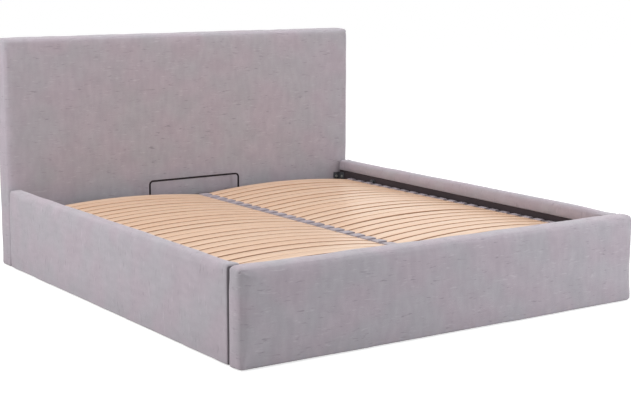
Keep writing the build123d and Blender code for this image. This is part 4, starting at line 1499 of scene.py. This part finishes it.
@dataclass
class Footboard(Lined):
    """Upholstered footboard over the full width, with folded corners, an inner lip and a dark lining.

    The cloth goes on a little way under the board, which hides it from a low angle.
    """

    half_width: float = 0.970
    front: float = -1.095
    back: float = -1.015
    outer_pad: float = 0.016
    end_pad: float = 0.012
    fold_under: float = 0.0028
    under_gap: float = 0.0002
    lining_half: float = 0.9165
    front_radius: float = 0.031
    side_radius: float = 0.029
    top_radius: float = 0.028
    back_top_radius: float = 0.018
    back_radius: float = 0.011
    back_roll: float = 0.017
    back_side_radius: float = 0.014
    low_radius: float = 0.011
    low_share: float = 0.18
    give: float = 0.0010
    give_reach: float = 0.025
    fold_hold: Span = (0.001, 0.0001)
    seam_half: float = 0.905
    fold_depth: float = 0.0014
    fold_width: float = 0.005
    fold_top: Triple = (0.014, 0.018, 0.003)
    fold_foot: Triple = (0.008, 0.010, 0.017)
    tuck_depth: float = 0.0062
    tuck_width: float = 0.0048
    ripple_share: float = 0.4
    crest_rise: float = 0.0010
    steps: Triple = (0.020, 0.010, 0.018)
    side_stops: tuple[float, ...] = (0.028, 0.033, 0.041, 0.054)
    upper_stops: tuple[float, ...] = (0.031, 0.034, 0.037, 0.040, 0.043, 0.048, 0.056)
    behind_zone: Span = (0.030, 0.018)
    shown_zone: Span = (0.002, 0.02)
    seam_zone: Span = (0.006, 0.0015)
    lining_over: float = 0.004
    lining_points: Counts = (100, 20)
    waves: tuple[Waves, ...] = ((61, 0.10, 0.5), (62, 0.05, 0.16), (71, 0.14, 0.6))
    lining_seed: int = 81

    def lattice(self, low: Array, high: Array) -> tuple[tuple[Array, Array, Array], Mask]:
        """Places of the footboard's lattice, and which of its cells are filled.

        Args:
            low: Lowest corner of the cover.
            high: Highest corner of the cover.

        Returns:
            The places along X, Y and Z, and true for each filled cell.
        """
        side = arc_stops(self.side_radius, 8, *self.side_stops)
        upper = arc_stops(self.top_radius, 8, *self.upper_stops)
        core_x, core_top = self.half_width - self.end_pad, self.top - self.top_pad
        core_low, core_high = self.front + self.outer_pad, self.back - self.lip_pad
        core_bottom = self.bottom - self.under_gap
        front, back = arc_stops(self.front_radius, 8), arc_stops(self.back_roll, 5)
        exact = (-core_x, core_x, -self.lining_half, self.lining_half)
        step_x, step_y, step_z = self.steps
        places = (stops(low[0], high[0], step_x, side, side, exact),
                  stops(low[1], high[1], step_y, front, back, (core_low, core_high)),
                  stops(low[2], high[2], step_z, arc_stops(self.low_radius, 4), upper,
                        (core_bottom, self.lip_bottom, core_top)))
        x, y, z = middles(places)
        core = (np.abs(x) < core_x) & (y > core_low) & (y < core_high) & (z < core_top) & (z > core_bottom)
        return places, ~(core | (np.abs(x) < self.lining_half) & (y > core_high) & (z < self.lip_bottom))

    def cover(self) -> bpy.types.Object:
        """Builds the padded cover.

        Returns:
            The cover, in place.
        """
        low = np.array([-self.half_width, self.front, self.bottom - self.fold_under])
        high = np.array([self.half_width, self.back, self.top])
        form = Cover("footboard_upholstery", low, high, *self.lattice(low, high), Nap.LEVEL)
        form.draw_in(self.give_reach, self.give)
        x, y, z = form.points.T
        lip = (np.abs(x) < self.lining_half - TINY) & (y > self.back - self.lip_pad - TINY)
        lip &= z > self.lip_bottom - TINY
        self.roll_lip(form, lip, (-FAR, -FAR, self.lip_bottom), (FAR, self.back, FAR), (0, 0, 1))

        x, y, z = form.points.T
        behind = smooth_step(y, self.front + self.behind_zone[0], self.back - self.behind_zone[1])
        raised = smooth_step(z, *UPPER_ZONE)
        beneath = 1 - self.low_share * smooth_step(z, *LOW_ZONE)
        across = between(self.side_radius, self.back_side_radius, behind * (1 - raised)) * beneath
        top_z = between(self.top_radius, self.back_top_radius, behind)
        back_y = between(self.back_radius, self.back_roll, raised)
        form.points = form.round((across, self.front_radius * beneath, self.low_radius), (across, back_y, top_z))

        y, z = form.points[:, 1:].T
        shown = smooth_step(y, *(self.back - away for away in self.shown_zone))
        folds = self.folds(form.points)
        lift = form.skin * (self.uneven(form.points, self.waves, shown) - folds)
        loose = form.skin * shown * self.loose_above(z) * smooth_step(folds, *self.fold_hold)
        form.raise_by(lift, loose, self.settling)
        x, y, _ = form.points.T
        # Painted shade on the back of the footboard by its seams with the rails.
        seam = smooth_step(y, *(self.back - away for away in self.seam_zone)) * (np.abs(x) > self.seam_half)
        return form.piece(loose, self.settling, seam)

    def folds(self, points: Array) -> Array:
        """Depth of the fold at each front top corner: a valley down the edge that ends in a small tuck.

        Both fall off with distance as a bell curve.

        Args:
            points: Points of the rounded cover.

        Returns:
            How far each point is drawn in.
        """
        place = np.stack([np.abs(points[:, 0]), points[:, 1], points[:, 2]], 1)
        corner = np.array([self.half_width, self.front, self.top])
        upper, lower = (corner + np.array(away) * (-1, 1, -1) for away in (self.fold_top, self.fold_foot))
        line = lower - upper
        t = np.clip((place - upper) @ line / (line @ line), 0, 1)
        valley = np.linalg.norm(place - upper - t[:, None] * line, axis=1)
        tuck = np.linalg.norm(place - lower, axis=1)
        return self.fold_depth * bell(valley, self.fold_width) + self.tuck_depth * bell(tuck, self.tuck_width)

    def hung(self, flat: Array) -> Array:
        """Y of the lining, just behind the board."""
        return self.back - self.lip_pad + self.off_board(flat, self.lining_seed)

    def build(self) -> None:
        """Builds and dresses the footboard."""
        cover = adopt(self.cover(), self.finishes.cover, "footboard_cover")
        along, upwards = self.lining_points
        x = np.linspace(-self.lining_half, self.lining_half, along)
        z = np.linspace(self.lining_low, self.lip_bottom + self.lining_over, upwards)
        lining = stretched_sheet("footboard_dark_lining", x, z, 0, self.hung, self.lining_depth)
        adopt(lining, self.finishes.lining, "footboard_lining")
        dress_node("footboard_board", self.finishes.board)


# Slatted base


@dataclass
class SlatRow(Assembly):
    """One row of sprung slats: bent birch laminates, arched across half the bed."""

    hand: Hand
    inner: float = 0.010
    outer: float = 0.891
    first: float = 0.848
    pitch: float = 0.076
    count: int = 24
    in_group: int = 4
    width: float = 0.064
    thickness: float = 0.008
    bottom: float = 0.272
    rise: float = 0.028
    rise_spread: float = 0.0016
    tilt: float = 0.008
    edge_radius: float = 0.0026
    stations: int = 33
    seed: int = 101
    map_spread: float = 40.0

    def arch(self, rise: float) -> tuple[Array, Array, Array, Array]:
        """Centreline of a slat: an arc of a circle through its two ends and its crown.

        Args:
            rise: Height of the crown over the ends.

        Returns:
            X, height, and the two parts of the direction square to it, at each station.
        """
        half = (self.outer - self.inner) / 2
        radius = (half**2 + rise**2) / (2 * rise)
        reach = math.asin(half / radius)
        turn = np.linspace(-reach, reach, self.stations)
        x = (self.inner + self.outer) / 2 + radius * np.sin(turn)
        z = self.bottom + self.thickness / 2 + radius * (np.cos(turn) - math.cos(reach))
        return x, z, np.sin(turn), np.cos(turn)

    def group(self, number: int, draw: np.random.Generator) -> bpy.types.Object:
        """Builds the slats of one node: a rounded section carried along the arch, once for each slat.

        Each slat has its own spring, so the crowns differ a little in height and tilt, and the ends don't.

        Args:
            number: The group's number, from one.
            draw: Source of each slat's own grain and tone.

        Returns:
            The slats as one mesh.
        """
        section = ring_of(self.width, self.thickness, self.edge_radius)
        across, height = section.T
        sides = len(section)
        bow = np.sin(np.linspace(0, math.pi, self.stations))[:, None]
        girth = np.concatenate([[0], np.cumsum(np.linalg.norm(np.diff(section, axis=0), axis=1))])
        total = girth[-1] + np.linalg.norm(section[0] - section[-1])
        quads = grid_quads(self.stations, sides, closed_columns=True)
        last = (self.stations - 1) * sides
        ends = np.array([range(sides - 1, -1, -1), range(last, last + sides)])
        station, corner = quads // sides, quads % sides
        around = np.where((corner == 0) & (np.roll(corner, 1, axis=1) > 1), total, girth[corner])
        if self.hand is Hand.RIGHT:
            quads, ends, station, around = (some[:, ::-1] for some in (quads, ends, station, around))
        edge = (np.abs(across) > self.width / 2 - self.edge_radius * 0.6).astype(float)
        parts, maps, tones = [], [], []
        for k in range(self.in_group):
            y = self.first - self.pitch * (self.in_group * (number - 1) + k)
            shift, tone = draw.uniform(0, self.map_spread, 2), draw.uniform(0, 1)
            x, z, lean, up = self.arch(self.rise + draw.uniform(-self.rise_spread, self.rise_spread))
            ring_x = x[:, None] + height * lean[:, None]
            ring_z = z[:, None] + height * up[:, None] + across * bow * draw.uniform(-self.tilt, self.tilt)
            ring_y = np.broadcast_to(y + across, ring_x.shape)
            points = np.stack([self.hand.value * ring_x, ring_y, ring_z], -1).reshape(-1, 3)
            parts.append((points, quads.tolist() + ends.tolist()))
            side_map = np.stack([x[station], around], -1).reshape(-1, 2)
            end_map = np.stack([ring_x.ravel()[ends], across[ends % sides]], -1).reshape(-1, 2)
            maps.append(np.concatenate([side_map, end_map]) + shift)
            tones.append(np.full(len(points), tone))
        points, faces = merged(parts)
        repeats = self.stations * self.in_group
        marks = {"rim": np.tile(edge, repeats), "depth": np.tile(height / self.thickness + 0.5, repeats),
                 "own": np.concatenate(tones)}
        name = f"{self.hand.word}_birch_slats_{number}"
        return make_mesh(name, points, faces, {GRAIN_MAP: np.concatenate(maps)}, marks)

    def build(self) -> None:
        """Builds and dresses the row."""
        draw = np.random.default_rng(self.seed + self.hand.value)
        for number in range(1, self.count // self.in_group + 1):
            node = f"{self.hand.word}_slats_{number}"
            adopt(self.group(number, draw), self.finishes.birch, node)


@dataclass
class SlatHolders(Assembly):
    """Moulded holders: double ones on the centre tube and single ones on the side tubes."""

    first: float = 0.848
    pitch: float = 0.076
    count: int = 24
    length: float = 0.068
    bottom: float = 0.270
    top: float = 0.2862
    pocket_low: float = 0.272
    pocket_high: float = 0.2803
    pocket_half: float = 0.0323
    centre_half: float = 0.025
    insert: float = 0.015
    side_inner: float = 0.876
    side_outer: float = 0.900
    band_half: float = 0.021
    band_slope: float = 0.002
    flange_top: float = 0.2812
    edge_radius: float = 0.0014

    def shell(self, x_low: float, x_high: float, pockets: Sequence[Span]) -> tuple[Array, Numbers]:
        """One holder about Y zero: a block with a pocket for each slat end and a raised band over its middle.

        The lattice's top is left out beside the band, and the outer edges are rounded.

        Args:
            x_low: Inner face.
            x_high: Outer face.
            pockets: The X range of each pocket.

        Returns:
            Points and quads.
        """
        half, r = self.length / 2, self.edge_radius
        edge = arc_stops(r, 2)
        ends = [p for pair in pockets for p in pair if x_low < p < x_high]
        band = [side * (self.band_half + slope) for side in (-1, 1) for slope in (0.0, self.band_slope)]
        places = (stops(x_low, x_high, 0.02, edge, edge, ends),
                  stops(-half, half, 0.03, edge, edge, band + [-self.pocket_half, self.pocket_half]),
                  np.array([self.bottom, self.pocket_low, self.pocket_high, self.flange_top, self.top - r * 0.6,
                            self.top]))
        x, y, z = middles(places)
        hollow = np.zeros(x.shape, bool)
        for start, end in pockets:
            hollow |= (x > start) & (x < end)
        hollow &= (np.abs(y) < self.pocket_half) & (z > self.pocket_low) & (z < self.pocket_high)
        low_side = (np.abs(y) > self.band_half + self.band_slope / 2) & (z > self.flange_top)
        points, quads, _ = block_skin(places, ~(hollow | low_side))
        low, high = np.array([x_low, -half, self.bottom]), np.array([x_high, half, self.top])
        radii = np.full((len(points), 3), r)
        return rounded(points, low, high, radii, radii), quads

    def row(self, name: str, shell: tuple[Array, Numbers]) -> bpy.types.Object:
        """Repeats a holder along the bed as one mesh, at the pitch of the slats.

        Args:
            name: Name of the object.
            shell: Points and quads of one holder.

        Returns:
            The row of holders.
        """
        points, quads = shell
        y = self.first - self.pitch * np.arange(self.count)
        placed = points[None] + np.stack([y * 0, y, y * 0], -1)[:, None]
        numbers = quads[None] + (np.arange(self.count) * len(points))[:, None, None]
        return make_mesh(name, placed.reshape(-1, 3), numbers.reshape(-1, 4), sharp_deg=STEEL_SHARP)

    def build(self) -> None:
        """Builds and dresses the holders."""
        c, inner = self.centre_half, self.centre_half - self.insert
        double = self.shell(-c, c, ((-c, -inner), (inner, c)))
        x_low, x_high = self.side_inner, self.side_outer
        single = self.shell(x_low, x_high, ((x_low, x_low + self.insert),))
        mirrored = (single[0] * (-1.0, 1.0, 1.0), single[1][:, ::-1])
        for name, node, shell in (("double", "centre", double), ("right_side", "right", single),
                                  ("left_side", "left", mirrored)):
            piece = self.row(f"{name}_slat_holders", shell)
            adopt(piece, self.finishes.holder, f"{node}_slat_holders")


@dataclass
class BaseFrame(Assembly):
    """Welded steel frame of square tube that carries the slats, with its end caps and the mattress hoop."""

    side_inner: float = 0.880
    side_outer: float = 0.900
    side_bottom: float = 0.230
    end_bottom: float = 0.245
    top: float = 0.270
    foot: float = -1.000
    head: float = 0.975
    end_width: float = 0.040
    centre_half: float = 0.020
    cross_size: float = 0.025
    cross_drop: float = 0.008
    wall: float = 0.002
    corner: float = 0.0028
    end_ease: float = 0.0004
    hoop_half: float = 0.2525
    hoop_y: float = 0.955
    hoop_top: float = 0.356
    hoop_radius: float = 0.0045
    hoop_corner: float = 0.018
    hoop_sunk: float = 0.002
    collar: tuple[Span, ...] = (
        (0.0042, 0.0), (0.008, 0.0), (0.008, 0.0035), (0.0068, 0.005), (0.0042, 0.0052))

    def tube(self, low: Array, high: Array, along: int) -> tuple[Array, Numbers]:
        """Square tube with rounded corners and open ends.

        The wall is one closed band: the outer ring carried to the far end, then the inner ring carried back.

        Args:
            low: Lowest corner.
            high: Highest corner.
            along: Axis that the tube runs along, 0 for X and 1 for Y.

        Returns:
            Points and faces.
        """
        across, ease = 1 - along, self.end_ease
        width, height = high[across] - low[across], high[2] - low[2]
        outer = ring_of(width, height, self.corner)
        inner = ring_of(width - 2 * self.wall, height - 2 * self.wall, self.corner - self.wall * 0.7)
        shy = ring_of(width - 2 * ease, height - 2 * ease, self.corner - ease)
        rings = ((shy, low[along]), (outer, low[along] + ease), (outer, high[along] - ease), (shy, high[along]),
                 (inner, high[along]), (inner, low[along]))
        points = np.zeros((len(rings), len(outer), 3))
        for row, (ring, place) in zip(points, rings):
            row[:, [across, 2]] = (low[[across, 2]] + high[[across, 2]]) / 2 + ring
            row[:, along] = place
        quads = grid_quads(len(rings), len(outer), closed_rows=True, closed_columns=True)
        return points.reshape(-1, 3), quads[:, ::-1] if along == 0 else quads

    def hoop(self) -> bpy.types.Object:
        """Builds the wire hoop: two upright legs, two quarter circles, a level top and a collar on each leg.

        A collar is a small profile turned about its leg.

        Returns:
            The hoop, in place.
        """
        r, half = self.hoop_corner, self.hoop_half
        turn = np.linspace(0, math.pi / 2, 9)
        leg = np.linspace(self.top - self.hoop_sunk, self.hoop_top - r, 5)[:-1]
        bend = np.stack([-half + r - r * np.cos(turn), self.hoop_top - r + r * np.sin(turn)], -1)
        left = np.concatenate([np.stack([np.full_like(leg, -half), leg], -1), bend])
        outline = np.concatenate([left, left[::-1] * (-1.0, 1.0)])
        path = np.insert(outline, 1, self.hoop_y, axis=1)
        parts = [tube_along(path, self.hoop_radius, 14)]
        reach, rise = np.array(self.collar).T[..., None]
        angle = np.linspace(0, 2 * math.pi, 24, endpoint=False)
        quads = grid_quads(len(reach), len(angle), closed_rows=True, closed_columns=True)[:, ::-1]
        for x in (-half, half):
            ring = np.stack([x + reach * np.cos(angle), self.hoop_y + reach * np.sin(angle),
                             self.top + rise + 0 * angle], -1)
            parts.append((ring.reshape(-1, 3), quads))
        return make_mesh("wire_hoop", *merged(parts), sharp_deg=COPY_SHARP)

    def build(self) -> None:
        """Builds and dresses the frame."""
        inner, mid, half = self.side_inner, self.centre_half, self.cross_size / 2
        near_foot, near_head = self.foot + self.end_width, self.head - self.end_width
        third = (self.head - self.foot) / 3
        cross_high = self.top - self.cross_drop
        cross = [((x_low, y - half, cross_high - self.cross_size), (x_high, y + half, cross_high))
                 for y in (self.foot + third, self.head - third)
                 for x_low, x_high in ((-inner, -mid), (mid, inner))]
        head = [((-inner, near_head, self.end_bottom), (inner, self.head, self.top))]
        foot = [((-inner, self.foot, self.end_bottom), (inner, near_foot, self.top))]
        middle = [((-mid, near_foot, self.side_bottom), (mid, near_head, self.top))]
        jobs = [("head_cross_tube", "head_tube", head, 0), ("foot_cross_tube", "foot_tube", foot, 0),
                ("middle_tube", "centre_tube", middle, 1), ("short_cross_tubes", "cross_tubes", cross, 0)]
        for hand in Hand:
            x_low, x_high = sorted(hand.value * x for x in (self.side_inner, self.side_outer))
            box = ((x_low, self.foot, self.side_bottom), (x_high, self.head, self.top))
            jobs.append((f"{hand.word}_long_tube", f"{hand.word}_side_tube", [box], 1))
        for name, node, boxes, along in jobs:
            tubes = [self.tube(np.array(low), np.array(high), along) for low, high in boxes]
            piece = make_mesh(name, *merged(tubes), sharp_deg=STEEL_SHARP)
            adopt(piece, self.finishes.paint, node)
        adopt(self.hoop(), self.finishes.wire, "mattress_hoop")
        caps = eased_copy("tube_end_caps", "tube_plugs", 0.0006)
        adopt(caps, self.finishes.black_plastic, "tube_end_caps")


# Floor, fixings and lift


@dataclass(frozen=True)
class Part:
    """A hard piece taken from the frame with its edges eased. Empty braces in its names stand for each side."""

    node: str
    name: str
    ease: float
    slot: str
    finish: str


@dataclass
class Fittings(Assembly):
    """Storage floor, glides, brackets, bolts, rests and the lift mechanism."""

    parts: tuple[Part, ...] = (
        Part("floor_battens", "pine_battens", 0.0015, "timber", "batten"),
        Part("{}_floor_sheet", "{}_storage_floor", 0.0006, "floor_sheet", "floor_sheet"),
        Part("glides", "floor_glides", 0.0008, "black_plastic", "black_plastic"),
        Part("corner_brackets", "steel_corner_brackets", 0.0006, "bracket_steel", "bracket"),
        Part("corner_bolts", "corner_bolt_heads", 0.0010, "zinc_steel", "zinc"),
        Part("{}_fixed_plate", "{}_pivot_plate", 0.0007, "bracket_steel", "bracket"),
        Part("pivot_pins", "lift_pivot_pins", 0.0006, "zinc_steel", "dark_zinc"),
        Part("strut_studs", "lower_strut_studs", 0.0005, "zinc_steel", "zinc"),
        Part("rest_brackets", "base_rests", 0.0006, "bracket_steel", "bracket"),
        Part("rest_bumpers", "base_rest_bumpers", 0.0010, "bumper_rubber", "rubber"),
        Part("wood_screws", "wood_screw_heads", 0.0005, "zinc_steel", "zinc"),
        Part("{}_hanger_plate", "{}_lift_plate", 0.0007, "bracket_steel", "bracket"),
        Part("hanger_bolts", "lift_plate_bolts", 0.0005, "zinc_steel", "zinc"),
        Part("{}_strut_cylinder", "{}_gas_cylinder", 0.0010, "strut_paint", "strut"),
        Part("{}_strut_rod", "{}_gas_rod", 0.0005, "strut_rod_steel", "rod"),
    )

    def build(self) -> None:
        """Builds and dresses every fitting."""
        for part in self.parts:
            for side in [hand.word for hand in Hand] if "{}" in part.node else [""]:
                node, name = part.node.format(side), part.name.format(side)
                adopt(eased_copy(node, name, part.ease), getattr(self.finishes, part.finish), node)


# Studio


@dataclass
class Lamp:
    """A soft square lamp that shines at a point."""

    name: str
    place: Triple
    aim: Triple
    size: float
    power: float
    colour: Triple = (1.0, 1.0, 1.0)

    def build(self) -> None:
        """Adds the lamp, turned to its aim."""
        data = bpy.data.lights.new(self.name, "AREA")
        data.shape, data.size, data.energy, data.color = "SQUARE", self.size, self.power, self.colour
        lamp = linked(self.name, data)
        way = np.array(self.aim) - np.array(self.place)
        lamp.location = self.place
        lamp.rotation_euler = Vector(way).to_track_quat("-Z", "Y").to_euler()


@dataclass
class Studio:
    """Pale floor, soft lamps, even surroundings and the camera."""

    camera_place: Triple = (-3.4350, -5.2276, 1.4136)
    camera_yaw: float = 0.59268
    camera_pitch: float = 0.16497
    lens: float = 81.12
    surround: float = 0.52
    floor_tone: float = 0.60
    floor_half: float = 300.0
    lamps: tuple[Lamp, ...] = (
        Lamp("key_lamp", (-4.0, 0.5, 2.8), (-0.6, -0.1, 0.2), 2.4, 125.5),
        Lamp("top_lamp", (1.4, -0.5, 4.5), (0.3, -0.2, 0.3), 3.4, 131.0),
        Lamp("fill_lamp", (1.9, -3.7, 1.1), (0.35, -1.0, 0.25), 1.4, 51.0, (0.955, 1.0, 1.01)),
    )

    def white_seen(self, nodes: Nodes, strength: float) -> Socket:
        """The given strength for rays from the camera, a gloss or glass, and zero for light on the object.

        Args:
            nodes: The tree to add to.
            strength: The strength wanted.

        Returns:
            Socket of the strength for the ray at hand.
        """
        path = nodes.add("LightPath").outputs
        seen = nodes.math("MAXIMUM", path["Is Camera Ray"], path["Is Glossy Ray"])
        return nodes.times(nodes.math("MAXIMUM", seen, path["Is Transmission Ray"]), strength)

    def floor(self) -> None:
        """Adds the floor: pale, with enough glow for the camera to read as white and keep a soft shadow."""
        points = self.floor_half * np.array([[-1.0, -1, 0], [1, -1, 0], [1, 1, 0], [-1, 1, 0]])
        piece = make_mesh("studio_floor", points, [[0, 1, 2, 3]])
        piece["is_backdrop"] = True
        made = bpy.data.materials.new("white_floor")
        made.use_nodes = True
        made.node_tree.nodes.clear()
        nodes = Nodes(made.node_tree)
        paint = nodes.add("BsdfDiffuse", {"Color": (self.floor_tone, self.floor_tone, self.floor_tone, 1.0)})
        glow = nodes.add("Emission", {"Strength": self.white_seen(nodes, 1 - self.floor_tone * self.surround)})
        both = nodes.add("AddShader", {0: paint.outputs[0], 1: glow.outputs[0]})
        nodes.add("OutputMaterial", {0: both.outputs[0]})
        piece.data.materials.append(made)

    def world(self) -> None:
        """Sets even surroundings, which the camera and gloss see as white."""
        world = bpy.data.worlds.new("soft_surround")
        world.use_nodes = True
        world.node_tree.nodes.clear()
        nodes = Nodes(world.node_tree)
        strength = nodes.math("ADD", self.white_seen(nodes, 1.0 - self.surround), self.surround)
        back = nodes.add("Background", {"Color": (1.0, 1.0, 1.0, 1.0), "Strength": strength})
        nodes.add("OutputWorld", {0: back.outputs[0]})
        bpy.context.scene.world = world

    def camera(self) -> None:
        """Adds the camera at the photograph's place."""
        data = bpy.data.cameras.new("camera")
        data.lens = self.lens
        data.clip_start, data.clip_end = 0.1, 1000.0
        camera = linked("camera", data)
        camera.location = self.camera_place
        camera.rotation_euler = (math.pi / 2 - self.camera_pitch, 0.0, -self.camera_yaw)
        bpy.context.scene.camera = camera

    def build(self) -> None:
        """Sets up the whole studio."""
        self.floor()
        self.world()
        for lamp in self.lamps:
            lamp.build()
        self.camera()
        bpy.context.scene.view_settings.view_transform = "Standard"
        log.info("studio: %d lamps", len(self.lamps))


def corners() -> list[list[float]]:
    """Lowest and highest corner of what is shown, as plain lists."""
    return [list(corner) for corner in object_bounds()]


def main() -> None:
    """Builds the studio and the bed, one sub-assembly after another."""
    logging.basicConfig(level=logging.INFO, format="%(message)s")
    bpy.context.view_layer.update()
    Studio().build()
    finishes = Finishes()
    left, right = SideRail(finishes, hand=Hand.LEFT), SideRail(finishes, hand=Hand.RIGHT, foot_dip=0.009)
    slats = [SlatRow(finishes, hand) for hand in Hand]
    for assembly in (Headboard(finishes), left, right, Footboard(finishes), *slats, SlatHolders(finishes),
                     BaseFrame(finishes), Fittings(finishes)):
        assembly.build()


if __name__ == "__main__":
    main()
